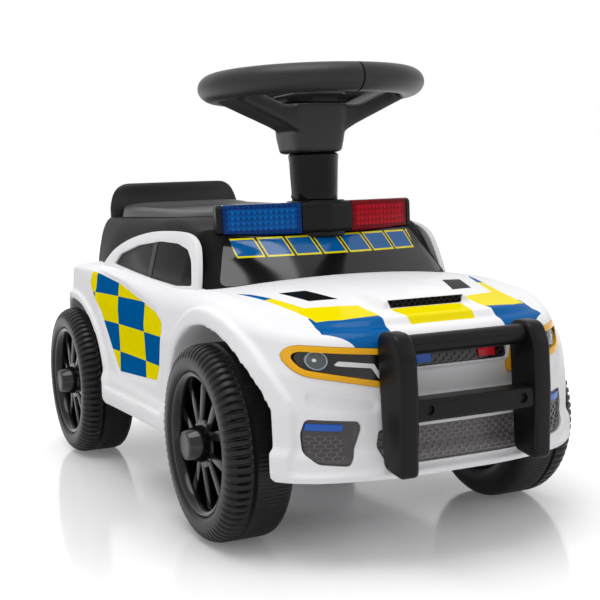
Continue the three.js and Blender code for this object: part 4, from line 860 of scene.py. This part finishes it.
def cabin_solid(name):
    def place(u, v):
        y = CABIN[0][0] + (CABIN[-1][0] - CABIN[0][0]) * min(1, max(0, (v - 0.01) / 0.98))
        top, top_half, side, side_half = (along([(row[0], row[k]) for row in CABIN], y) for k in (1, 2, 3, 4))
        half = [(side_half, CABIN_FOOT_Z), (side_half, side - 8), (side_half, side)]
        for k in range(1, 8):
            t = k / 8
            corner = ((side_half + top_half) / 2 + 3, top - 0.5)
            half.append(tuple((1 - t) ** 2 * s + 2 * t * (1 - t) * c + t * t * e
                              for s, c, e in zip((side_half, side), corner, (top_half, top))))
        half += [(top_half, top), (top_half * 0.75, top), (top_half * 0.5, top), (top_half * 0.25, top)]
        foot = (0, CABIN_FOOT_Z)
        ring = [foot, *half, (0, top), *[(-x, z) for x, z in reversed(half)], foot]
        x, z = ring[round(u * (len(ring) - 1))]
        fade = min(1, max(0, (-60 - y) / 54))
        y += 29 * fade * (x / FRAME_FOOT_X) ** 2
        return (x, y, z) if 0 < v < 1 else (0, y, 172)
    return sheet(name, 30, 150, place)


def cabin_pieces():
    cabin = cabin_solid("cabin_look")
    cut(cabin, slab("tub_hole", rounded(oblong((-60.4, 60.4), (15.6, 242.7)), 12), "plan", 100, 300))
    cut(cabin, rod("column_hole", 150, 300, 12.5, 40, centre=(0, COLUMN_Y, 0)))
    done(cabin, "chassis", "black_plastic", CABIN_BLACK, "cabin_top")
    outline = rounded([(-104, 188), (104, 188), (87, 227), (-87, 227)], 6)
    screen = slab("windscreen_look", outline, "front", -180, COLUMN_Y - 4)
    limit(screen, moved(cabin_solid("screen_front"), (0, -1.8, 0)))
    cut(screen, moved(cabin_solid("screen_back"), (0, -0.3, 0)))
    cut(screen, body_solid("screen_foot", -0.3))
    done(screen, "chassis", "gloss_black", SCREEN, "windscreen")


def ring_point(turn, half, y0, y1, radius):
    """A point on a rounded rectangle in plan, at a share of a turn from the middle of its front."""
    a = 2 * math.pi * turn - math.pi / 2
    middle = (y0 + y1) / 2
    long_half = (y1 - y0) / 2
    dx, dy = math.cos(a) * half, math.sin(a) * long_half
    power = 2 * min(half, long_half) / max(radius, 1)
    grade = max(2.2, power)
    size = (abs(math.cos(a)) ** grade + abs(math.sin(a)) ** grade) ** (-1 / grade)
    return dx * size, middle + dy * size


def stacked(name, radius, levels):
    """A closed piece through rounded rectangles in plan, one above the other: [half width, y0, y1, z]."""
    ends = [(0, (y0 + y1) / 2, (y0 + y1) / 2, z) for _, y0, y1, z in (levels[0], levels[-1])]
    rings = [ends[0], *levels, ends[1]]

    def place(u, v):
        half, y0, y1, z = rings[round(v * (len(rings) - 1))]
        return *ring_point(u, half, y0, y1, radius), z
    return sheet(name, RING_STEPS, len(rings) - 1, place)


RING_STEPS = 96
HINGE_Y, HINGE_Z, HINGE_CLEAR = REAR_AXLE_Y + 45, 246, 5.7
SEAT_FRONT_Y, LID_REAR_Y = FRONT_AXLE_Y + 165, HINGE_Y - HINGE_CLEAR
SEAT_HALF, SEAT_Z = 79, 247
SEAT_SLOPE, SEAT_DROP, KICK_RISE, KICK_START, KICK_LENGTH = 7.5, 1.5, 3.4, 34, 28
EYE_X0, EYE_X1, EYE_BORE, EYE_RADIUS = 16, 44, 2.3, 4.2


def seat_pieces():
    levels = []
    for tuck, z in ((2, BED_Z + 0.3), (0, BED_Z + 0.8), (0.6, BED_Z + 1.8), (2.2, SEAT_Z - 2.8),
                    (5, SEAT_Z - 1.2), (8.5, SEAT_Z - 0.3), (12, SEAT_Z), (15, SEAT_Z - 0.2),
                    (19, SEAT_Z - 1.2), (27, SEAT_Z - 2.2), (38, SEAT_Z - 2.5)):
        levels.append((SEAT_HALF - tuck, SEAT_FRONT_Y + tuck, LID_REAR_Y - tuck, z))
    lid = stacked("seat_look", 24, levels)
    for point in lid.data.vertices:
        if point.co.z > (SEAT_Z - 2.9) * MM:
            y = point.co.y / MM
            kick = min(1, max(0, (y - LID_REAR_Y + KICK_START) / KICK_LENGTH))
            slope = SEAT_SLOPE * (y - SEAT_FRONT_Y) / (LID_REAR_Y - SEAT_FRONT_Y) - SEAT_DROP
            point.co.z += (KICK_RISE * kick * kick * (3 - 2 * kick) + slope) * MM
    section = [(EYE_X0, EYE_BORE), (EYE_X0, EYE_RADIUS), (EYE_X1, EYE_RADIUS), (EYE_X1, EYE_BORE),
               (EYE_X0, EYE_BORE)]
    lug = turned("seat_lug", section, 24, "X", (0, HINGE_Y, HINGE_Z))
    reach = (LID_REAR_Y - 6, HINGE_Y - 3)
    tongue = block("seat_tongue", (EYE_X0, EYE_X1), reach, (HINGE_Z - 3, HINGE_Z + 0.8))
    join(lid, both_sides(join(lug, tongue)))
    done(lid, "seat_lid", "black_plastic", SEAT_BLACK, "seat_lid")
    front = HINGE_Y + HINGE_CLEAR
    levels = []
    for half, y0, y1, z in ((75, 0, 18, 222), (75, 0, 18, 240), (75, -0.4, 18.4, 248),
                            (74.8, -0.2, 18.4, 252), (74, 0.6, 18.2, 256), (73, 1.6, 18, 260),
                            (71.6, 2.4, 17.8, 264), (69.6, 2.8, 17.6, 268), (66.8, 3, 17, 271.5),
                            (63, 3.4, 16, 274.4), (58.6, 4.6, 14.4, 276.3), (53, 6.8, 12, 277),
                            (0, 9, 9, 277.2)):
        levels.append((half, front + y0, front + y1, z))
    rest = stacked("backrest_look", 7, levels)
    cut(rest, moved(cabin_solid("rest_foot"), (0, 0, 0.2)))
    done(rest, "chassis", "black_plastic", SEAT_BLACK, "seat_backrest")


# Steering
RIM_Z, RIM_RADIUS, RIM_HALF, RIM_HALF_HEIGHT = 349, 95, 13, 11
HUB_FOOT_Z, HUB_TOP_Z, HUB_HALF, HUB_CORNER = 293, 334, 24, 12
HUB_FRONT_Y, HUB_REAR_Y = COLUMN_Y - 24, COLUMN_Y + 34
SMOOTHING_LOSS, GROOVE_DEPTH = 0.7, 1.1
BUTTON_PLAY = 0.4


def grip_ring(grow):
    """The steering wheel's rim, grown by a little all round."""
    turns = [2 * math.pi * k / 28 for k in range(29)]
    section = [((RIM_HALF_HEIGHT + grow) * math.sin(turn),
                RIM_RADIUS - RIM_HALF + (RIM_HALF + grow) * math.cos(turn)) for turn in turns]
    return turned("steering_look", section, 180, "Z", (0, COLUMN_Y, RIM_Z))


def hub_levels(steps, foot):
    """Levels of the steering wheel's hub, from [growth, height over a foot] steps."""
    return [(HUB_HALF + grow, HUB_FRONT_Y - grow, HUB_REAR_Y + grow, foot + z) for grow, z in steps]


def steering_wheel():
    wheel = grip_ring(SMOOTHING_LOSS)
    outline = [(14, HUB_FOOT_Z + 13), (32, HUB_FOOT_Z + 23), (RIM_RADIUS - 10, RIM_Z - 8.6),
               (RIM_RADIUS - 13, RIM_Z + 4), (34, HUB_TOP_Z - 1), (14, HUB_TOP_Z - 1)]
    spoke = slab("spoke", outline, "front", COLUMN_Y - 21, COLUMN_Y + 21)
    for point in spoke.data.vertices:
        if point.co.x > 60 * MM:
            point.co.y += (point.co.y - COLUMN_Y * MM) * 0.2
    bevelled(spoke, 3, 3)
    height = HUB_TOP_Z - HUB_FOOT_Z
    steps = ((-5, 0), (-2.4, 1), (-1.6, 3), (0, 14), (2, height - 2), (1.8, height))
    fuse(wheel, both_sides(spoke), stacked("hub", HUB_CORNER, hub_levels(steps, HUB_FOOT_Z)))
    moulded(wheel, 1.5, 4)
    groove_reach = (COLUMN_Y - RIM_RADIUS - 9, COLUMN_Y - 60)
    groove = block("groove", (-0.8, 0.8), groove_reach, (RIM_Z - 20, RIM_Z + 20))
    cut(wheel, cut(groove, grip_ring(-GROOVE_DEPTH)))
    bay_z = 1000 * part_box("sound_module")[0].z - 0.3
    bay = rounded(oblong((-20, 20), (HUB_FRONT_Y + 4, HUB_REAR_Y - 4)), 8)
    cut(wheel, slab("module_bay", bay, "plan", bay_z, 400))
    cut(wheel, rod("shaft_hole", 280, 400, 6.4, 32, centre=(0, COLUMN_Y, 0)))
    done(wheel, "steering", "black_plastic", GRIP_BLACK, "steering_wheel")


def column_pieces():
    bush = [(223, 6.6), (223, 12), (229.5, 12), (229.5, 6.6), (223, 6.6)]
    done(turned("bush_look", bush, 48, "Z", (0, COLUMN_Y, 0)), "chassis", "grey_plastic", GREY, "column_bush")
    profile = [(236, 0), (236, 18.6), (237, 19.2), (262, 19.8), (286, 21), (291, 21.6), (292.7, 20),
               (292.7, 0)]
    column = turned("column_look", profile, 64, "Z", (0, COLUMN_Y, 0))
    done(column, "steering", "black_plastic", GLOSS_BLACK, "steering_column")
    done(screw("column_screw", (-18.8, COLUMN_Y + 6, 257), "X", 2.2), "steering", "steel", STEEL)


def button_pieces():
    """The tray on the hub with its three buttons."""
    steps = ((1.6, 0.3), (2, 0.8), (2, 6.3), (1.7, 7.3), (0.8, 8.1), (-0.2, 8.3), (-1.4, 8.3), (-2.2, 7.8),
             (-3.4, 5.2), (-4.2, 4.3))
    cover = stacked("cover_look", HUB_CORNER, hub_levels(steps, HUB_TOP_Z))
    music_y = HUB_FRONT_Y + 15
    buttons = (("horn_button", 0, HUB_REAR_Y - 18, 10), ("music_button_left", 11, music_y, 6),
               ("music_button_right", -11, music_y, 6))
    for name, x, y, radius in buttons:
        cut(cover, rod("button_hole", 300, 360, radius + BUTTON_PLAY, 40, centre=(x, y, 0)))
        profile = [(330.8, 0), (330.8, radius + 1.4), (333.9, radius + 1.4), (333.9, radius), (339.8, radius),
                   (340.6, radius - 0.5), (341.1, radius - 1.8), (341.3, radius * 0.5), (341.3, 0)]
        look = RED_LIGHT if name == "horn_button" else BLUE_LIGHT
        done(turned(name + "_look", profile, 40, "Z", (x, y, 0)), name, "blue_lens", look, name)
    done(cover, "steering", "black_plastic", SATIN_BLACK, "hub_cover")


# Light bar: a half is drawn along +X from the middle with its front at Y = 0, then swept back
BAR_FRONT_Y, BAR_DEPTH, BAR_Z, BAR_TOP_Z, TRAY_Z = COLUMN_Y - 29, 24, 226, 252, 230
LENS_X0, LENS_X1, BAR_REACH, COLLAR_HALF = 24, 91, 96, 23
BAR_SWEEP = math.radians(15.7)


def swept(piece):
    for point in piece.data.vertices:
        x, y, _ = point.co
        point.co.x = x * math.cos(BAR_SWEEP) - y * math.sin(BAR_SWEEP)
        point.co.y = x * math.sin(BAR_SWEEP) + y * math.cos(BAR_SWEEP) + BAR_FRONT_Y * MM
    return piece


def over_roof(piece):
    """Takes away what would sink into the roof or the windscreen."""
    return cut(piece, moved(cabin_solid("roof"), (0, 0, 0.3)), moved(cabin_solid("screen"), (0, -2.3, 0)))


def light_bar_pieces():
    corners = oblong((0, BAR_DEPTH), (BAR_Z, BAR_TOP_Z))
    section = rounded(corners, 5, 6)
    base = slab("light_bar_look", section, "side", 0, BAR_REACH)
    bevelled(base, 1.6, 3, 60)
    cut(base, block("lens_bay", (LENS_X0, LENS_X1), (-9, BAR_DEPTH + 9), (0, 300)))
    fuse(base, block("tray", (LENS_X0 - 2, LENS_X1 + 2), (3.2, BAR_DEPTH - 3.2), (BAR_Z, TRAY_Z)))
    swept(base)
    fuse(base, mirrored(base, "bar_twin"))
    plan = oblong((-COLLAR_HALF, COLLAR_HALF), (BAR_FRONT_Y + 4, COLUMN_Y + COLLAR_HALF))
    collar = slab("collar", rounded(plan, 22, 8), "plan", BAR_Z - 4, BAR_TOP_Z + 1)
    fuse(base, bevelled(collar, 1.5, 3, 60))
    cut(base, rod("collar_bore", 200, 300, 22, 72, centre=(0, COLUMN_Y, 0)))
    over_roof(base)
    done(base, "chassis", "black_plastic", SATIN_BLACK, "light_bar_base")
    section = rounded(corners, 3, 6)
    red = bevelled(slab("red_lens_look", section, "side", LENS_X0 + 0.3, LENS_X1 - 0.3), 1.4, 3, 60)
    cut(red, block("lens_inside", (LENS_X0 + 3, LENS_X1 - 3), (2.8, BAR_DEPTH - 2.8), (200, BAR_TOP_Z - 2.5)))
    swept(red)
    cut(red, block("collar_side", (-WIDE, COLLAR_HALF + 0.3), (-WIDE, WIDE), (0, 300)))
    over_roof(red)
    blue = mirrored(red, "blue_lens_look")
    done(red, "chassis", "red_lens", RED_LENS, "light_lens_red")
    done(blue, "chassis", "blue_lens", BLUE_LENS, "light_lens_blue")


# Bull bar
POST_X, POST_WIDTH, TUBE_Z, PLATE_Z, PLATE_HEIGHT = 54, 14, 155, 104, 15
SCREW_X, SCREW_Z = (-38, 38), PLATE_Z + 8


def bull_bar_pieces():
    f = POST_FRONT_Y
    outline = [(f + 3, 66), (f + 29, 70), (f + 33, 160), (f + 26, 165), (f + 9, 164), (f + 1, 150), (f, 116)]
    post = slab("post_look", rounded(outline, 6, 6), "side", POST_X - POST_WIDTH / 2, POST_X + POST_WIDTH / 2)
    bevelled(post, 3, 4, 50)
    cut(post, body_solid("post_seat", -0.3))
    twin = mirrored(post, "post_right_look")
    done(post, "chassis", "black_plastic", SATIN_BLACK, "bull_bar_post_left")
    done(twin, "chassis", "black_plastic", SATIN_BLACK, "bull_bar_post_right")
    reach = POST_X - POST_WIDTH / 2 - 0.3
    tube = rod("tube_look", -reach, reach, 7, 40, "X", (0, f + 17, TUBE_Z))
    done(tube, "chassis", "black_plastic", SATIN_BLACK, "bull_bar_tube")
    section = rounded(oblong((f + 3, f + 23), (PLATE_Z, PLATE_Z + PLATE_HEIGHT)), 3)
    plate = slab("plate_look", section, "side", -reach, reach)
    for x in SCREW_X:
        cut(plate, turned("screw_pit", [(f, 0), (f, 4), (f + 5, 3.4), (f + 5, 0)], 24, "Y", (x, 0, SCREW_Z)))
    done(plate, "chassis", "black_plastic", SATIN_BLACK, "bull_bar_plate")
    screws = [screw("plate_screw", (x, f + 5, SCREW_Z), "Y", 2.6) for x in SCREW_X]
    done(join(*screws), "chassis", "steel", DARK_STEEL)


def screw(name, centre, axis, radius):
    """A small round-headed screw with a crossed slot, its head towards the axis's low end."""
    profile = [(2, 0), (2, radius), (0.5, radius), (-0.2, radius * 0.7), (-0.5, 0)]
    head = turned(name, profile, 20, axis, centre)
    for wide, tall in ((radius * 0.7, 0.5), (0.5, radius * 0.7)):
        reach = {"X": (2, wide), "Y": (wide, 2)}[axis]
        low = [c - r for c, r in zip(centre, (*reach, tall))]
        high = [c + (0.3 if r == 2 else r) for c, r in zip(centre, (*reach, tall))]
        cut(head, block("slot", *zip(low, high)))
    return head


# Lamps and grilles
CELL_SQUASH = 0.5


def repeated(piece, count, step):
    return apply(piece, "ARRAY", count=count, use_relative_offset=False, use_constant_offset=True,
                 constant_offset_displace=[part * MM for part in step])


def honeycomb(outline, pitch, wall, low, high):
    """Wide six-sided cells over the box of an outline, to be cut out of a net."""
    xs, zs = [p[0] for p in outline], [p[1] for p in outline]
    radius = (pitch - wall) / math.sqrt(3)
    row = pitch * math.sqrt(3) / 2 * CELL_SQUASH
    x, z = min(xs) - pitch, min(zs) - row
    turns = [math.pi * k / 3 for k in range(6)]
    cell = [(x + radius * math.sin(turn), z + radius * CELL_SQUASH * math.cos(turn)) for turn in turns]
    cells = slab("cells", cell, "front", low, high)
    across = int((max(xs) - min(xs)) / pitch) + 3
    repeated(cells, across, (pitch, 0, 0))
    join(cells, moved(copy(cells, "odd_cells"), (pitch / 2, 0, row)))
    up = int((max(zs) - min(zs)) / (2 * row)) + 2
    return repeated(cells, up, (0, 0, 2 * row))


def grille(name, outline, area, radius=3):
    """A plate in an opening of the nose and a net of fine ribs on an area of it."""
    plate = bevelled(let_in(name, nose(inset(outline, 0.4), radius), 1.8, 5.8), 0.5)
    net = let_in(name + "_net", nose(area, radius), 1.1, 2.2)
    return plate, cut(net, honeycomb(area, 6.4, 0.7, NOSE_Y - 40, FRONT_AXLE_Y - 50))


PROJECTOR = (98, 145.8)
HEADLAMP_STRIP = [(88, 142.6), (85, 145), (62, 142), (56.5, 131.5), (59, 131.3), (64, 139.2), (86.5, 141.8)]
FOG_NET = [(84, 75.5), (100, 77), (107, 84), (108, 95), (82, 93.5)]
FOG_LIGHT = [(84, 96.6), (107.4, 98.2), (106.6, 103), (83.4, 101.2)]


def round_nose(name, x, z, radius):
    """A round bar through the nose."""
    turns = [k * math.pi / 16 for k in range(32)]
    outline = [(x + radius * math.cos(turn), z + radius * math.sin(turn)) for turn in turns]
    return slab(name, outline, "front", *NOSE_REACH)


def disc(name, x, z, radius, front, back):
    """A round part let into the nose."""
    return let_in(name, round_nose(name, x, z, radius), front, back)


def lamp_pieces():
    trim = let_in("headlamp_trim_look", nose(inset(HEADLAMP, 0.3), 7), -0.6, 6)
    cut(trim, nose(inset(HEADLAMP, 4.4), 5))
    pair(bevelled(trim, 0.9, 3), "chassis", "amber_trim", AMBER, "headlamp_trim")
    lens = let_in("headlamp_look", nose(inset(HEADLAMP, 4.6), 5), 1.4, 6)
    pair(lens, "chassis", "gloss_black", LAMP_BLACK, "headlamp")
    ring = cut(disc("projector", *PROJECTOR, 6.3, 0.6, 2.4), round_nose("bore", *PROJECTOR, 5.6))
    pair(ring, "chassis", "grey_plastic", CHROME)
    pair(bevelled(disc("projector_lens", *PROJECTOR, 5.5, 0.8, 2.4), 0.5), "chassis", "gloss_black", BULLSEYE)
    # Painted highlight: a small white disc on the projector's lens stands in for a glint of reflected light
    glint = disc("projector_glint", PROJECTOR[0] + 1.3, PROJECTOR[1] + 0.3, 1.2, 0.5, 2)
    pair(bevelled(glint, 0.3), "chassis", "white_plastic", LAMP_WHITE_AND_GLINT)
    pair(let_in("lamp_bar", nose(HEADLAMP_STRIP, 0.8), 0.8, 2.2), "chassis", "white_plastic", LAMP_WHITE_AND_GLINT)
    plate, net = grille("upper_grille_look", UPPER_GRILLE, inset(UPPER_GRILLE, 0.8), 1.5)
    done(plate, "chassis", "gloss_black", LAMP_BLACK, "upper_grille")
    done(net, "chassis", "black_plastic", NET_BLACK)
    for x, look, slot in ((26.6, RED_LIGHT, "red_lens"), (-26.6, BLUE_LIGHT, "blue_lens")):
        spot = let_in("grille_light", nose(oblong((x - 7, x + 7), (140, 146)), 0.8), 0.3, 2.4)
        done(bevelled(spot, 0.4), "chassis", slot, look)
    plate, net = grille("lower_grille_look", LOWER_GRILLE, inset(LOWER_GRILLE, 1.2))
    done(plate, "chassis", "grey_plastic", GREY, "lower_grille")
    done(net, "chassis", "grey_plastic", NET_GREY)
    plate, net = grille("fog_lamp_look", FOG_LAMP, FOG_NET, 4)
    pair(plate, "chassis", "grey_plastic", FOG_GREY, "fog_lamp")
    pair(net, "chassis", "grey_plastic", GREY)
    pair(bevelled(let_in("fog_light", nose(FOG_LIGHT, 1), 0.5, 2.4), 0.4), "chassis", "blue_lens", BLUE_LIGHT)
    red = let_in("tail_lamp_look", tail(inset(TAIL_LAMP, 0.3), 4), 0.8, 6)
    pair(bevelled(red, 0.6), "chassis", "red_lens", RED_LENS, "tail_lamp")
    outline = inset(SCOOP_MOUTH, 0.3)
    scoop_net = slab("scoop_grille_look", outline, "front", SCOOP_FRONT_Y + 1, SCOOP_FRONT_Y + 8)
    cut(scoop_net, honeycomb(SCOOP_MOUTH, 5, 0.9, SCOOP_FRONT_Y - 9, SCOOP_FRONT_Y + 2.6))
    done(scoop_net, "chassis", "gloss_black", SATIN_BLACK, "scoop_grille")


# Wheels, made at the origin with the outer face towards +X
LUGS, LUG_DEPTH, RIB_DEPTH, TREAD_FOOT = 72, 2.3, 0.5, 64
TREAD_GAP_X0, TREAD_GAP_X1 = 129, 132.6
BARREL, HUB, SPOKE_FACE, CAP_FACE_X = 51, 15, 143, 155.8


def tread(x, radius, angle):
    """Lugs on the tyre's outer half and finer ribs on its inner half."""
    if radius < TREAD_FOOT or x < 100:
        return x, radius
    if x > TREAD_GAP_X1:
        phase = (angle * LUGS / (2 * math.pi) + 0.15 * ((x - 132) / 18) ** 2) % 1
        share = min(1, max(0, (0.26 - abs(phase - 0.5)) / 0.17))
        dip = LUG_DEPTH * share * share * (3 - 2 * share) * min(1, (radius - TREAD_FOOT) / 5)
        return x, radius - dip
    if x < TREAD_GAP_X0:
        phase = (angle * 2 * LUGS / (2 * math.pi)) % 1
        return x, radius - RIB_DEPTH * min(1, max(0, (0.28 - abs(phase - 0.5)) / 0.1))
    return x, radius


def tyre():
    profile = [(101, 52), (123, 52), (146, 52), (146, 54.6), (147.6, 55.2), (149.2, 56.6), (150, 58.6),
               (150, 62), (149.8, 65), (149.2, 67.6), (147.8, 70), (146, 71.8), (143.5, 73.4), (141, 74.4),
               (138, 74.9), (135, 75), (TREAD_GAP_X1, 75), (132, 73.6), (130.8, 72.6), (129.6, 73.6),
               (TREAD_GAP_X0, 75), (124, 75), (117, 75), (110, 75), (106, 74.8), (103, 74), (100.6, 72),
               (98.8, 69), (98, 65), (98, 58), (99, 54), (101, 52)]
    return turned("tyre", profile, LUGS * 10, "X", shape=tread)


def rim():
    barrel = [(101, 48), (141, 49), (146.4, 50.4), (147.6, 52), (148, 53.6), (147.6, 54.4), (146.3, 54.4),
              (146.3, BARREL), (101, BARREL), (101, 48)]
    wheel = turned("rim", barrel, 96, "X")
    back = rod("rim_back", 124, 127, 48.6, 64, "X")
    hub_profile = [(98, 0), (98, HUB), (138, HUB), (141, HUB + 4), (142.4, HUB + 3), (SPOKE_FACE, HUB),
                   (SPOKE_FACE, 0)]
    hub = turned("rim_hub", hub_profile, 48, "X")
    spokes = []
    for k in range(5):
        for side in (-1, 1):
            spoke = slab("spoke", [(13, -3.4), (50.5, -5), (50.5, 5), (13, 3.4)], "side", 132, SPOKE_FACE)
            bevelled(spoke, 2, 2)
            turn = 2 * math.pi * k / 5 + side * 0.24
            spread = side * 3.2
            for point in spoke.data.vertices:
                along_spoke, across, x = point.co.y / MM, point.co.z / MM + spread, point.co.x / MM
                x -= 3.2 * max(0, (along_spoke - 16) / 34) ** 2 * (x - 120) / 23
                point.co = Vector((x, along_spoke * math.cos(turn) - across * math.sin(turn),
                                   along_spoke * math.sin(turn) + across * math.cos(turn))) * MM
            spokes.append(spoke)
    return join(wheel, back, hub, *spokes)


def hub_cap():
    profile = [(143.3, 0), (143.3, 14.2), (144.6, 14.2), (155.6, 11), (156.6, 10.4), (157, 9.6), (156.4, 9),
               (156.4, 0)]
    return turned("hub_cap", profile, 48, "X")


def wheel_pieces():
    makers = (("tyre", tyre(), "tyre_plastic", TYRE_BLACK), ("rim", rim(), "gloss_black", RIM_BLACK),
              ("hub_cap", hub_cap(), "black_plastic", HUB_CAPS))
    for name, model, slot, look in makers:
        for end, y in (("front", FRONT_AXLE_Y), ("rear", REAR_AXLE_Y)):
            for side, sign in (("left", 1), ("right", -1)):
                corner = f"{end}_{side}"
                piece = copy(model, f"{name}_{corner}_look")
                for point in piece.data.vertices:
                    x, across, up = point.co
                    point.co = Vector((sign * x, sign * across + y * MM, up + AXLE_Z * MM))
                done(piece, "wheel_" + corner, slot, look, f"{name}_{corner}")
        bpy.data.objects.remove(model)


studio()
camera()

SHELL_WHITE = moulded_plastic("shell_white", WHITE, 0.24, shine=0.1)
LIVERY = livery()
SATIN_BLACK = moulded_plastic("satin_black", colour(15, 14, 16), 0.38, grain=0.15, shine=0.15)
# Lighter than the other black plastics: partly the seat's satin black and partly a painted sheen for the
# highlights the seat catches
SEAT_BLACK = moulded_plastic("seat_black", colour(33, 32, 33), 0.38, grain=0.1, shine=0.2)
GLOSS_BLACK = moulded_plastic("gloss_black", colour(8, 8, 9), 0.14, shine=0.12)
RIM_BLACK = moulded_plastic("rim_black", colour(6, 6, 7), 0.16, shine=0.3)
CABIN_BLACK = moulded_plastic("cabin_black", colour(15, 14, 15), 0.5, grain=0.1, shine=0.05)
LAMP_BLACK = moulded_plastic("lamp_black", colour(26, 24, 24), 0.16, shine=0.4)
TYRE_BLACK = moulded_plastic("tyre_black", colour(15, 15, 15), 0.4, grain=0.1, shine=0.25)
GREY = moulded_plastic("lamp_grey", colour(104, 99, 100), 0.35)
FOG_GREY = moulded_plastic("fog_grey", colour(66, 61, 61), 0.3)
NET_GREY = moulded_plastic("net_grey", colour(146, 141, 143), 0.35)
NET_BLACK = moulded_plastic("net_black", colour(58, 56, 58), 0.35)
# White of the lamp strips, also used for the painted highlight on the projector lenses
LAMP_WHITE_AND_GLINT = moulded_plastic("lamp_white_and_glint", colour(225, 228, 226), 0.2, coat=0.5)
BULLSEYE = moulded_plastic("bullseye", colour(70, 78, 82), 0.12, shine=0.6)
CHROME = moulded_plastic("chrome_grey", colour(150, 168, 176), 0.2, coat=0.5)
AMBER = moulded_plastic("amber_trim", colour(244, 178, 4), 0.25, shine=0.3)
HUB_CAPS = cap_faces()
GRIP_BLACK = grip_black()
BLUE_LENS = ribbed_lens("blue_lens", colour(0, 34, 96), colour(0, 112, 196))
RED_LENS = ribbed_lens("red_lens", colour(86, 0, 10), colour(214, 10, 38))
BLUE_LIGHT = moulded_plastic("blue_light", colour(22, 92, 190), 0.2, shine=0.3)
RED_LIGHT = moulded_plastic("red_light", colour(206, 24, 38), 0.2, shine=0.3)
GLASS = tinted_glass()
SCREEN = windscreen_print()
STEEL = plated_steel("zinc_steel", 150, 205)
DARK_STEEL = plated_steel("dark_steel", 30, 52)
SLOT_LOOKS = {"white_plastic": SHELL_WHITE, "black_plastic": SATIN_BLACK, "gloss_black": GLOSS_BLACK,
              "tyre_plastic": TYRE_BLACK, "grey_plastic": GREY, "amber_trim": AMBER, "blue_lens": BLUE_LENS,
              "red_lens": RED_LENS, "steel": STEEL}
for part in frame["record"]["subparts"]:
    node = frame["nodes"][part["node"]]
    node.data.materials.clear()
    node.data.materials.append(SLOT_LOOKS[part["material_slot"]])
frame["nodes"]["hinge_pin"].data.materials[0] = DARK_STEEL

bodywork(LIVERY)
window_pieces()
cabin_pieces()
seat_pieces()
steering_wheel()
column_pieces()
button_pieces()
light_bar_pieces()
bull_bar_pieces()
lamp_pieces()
wheel_pieces()
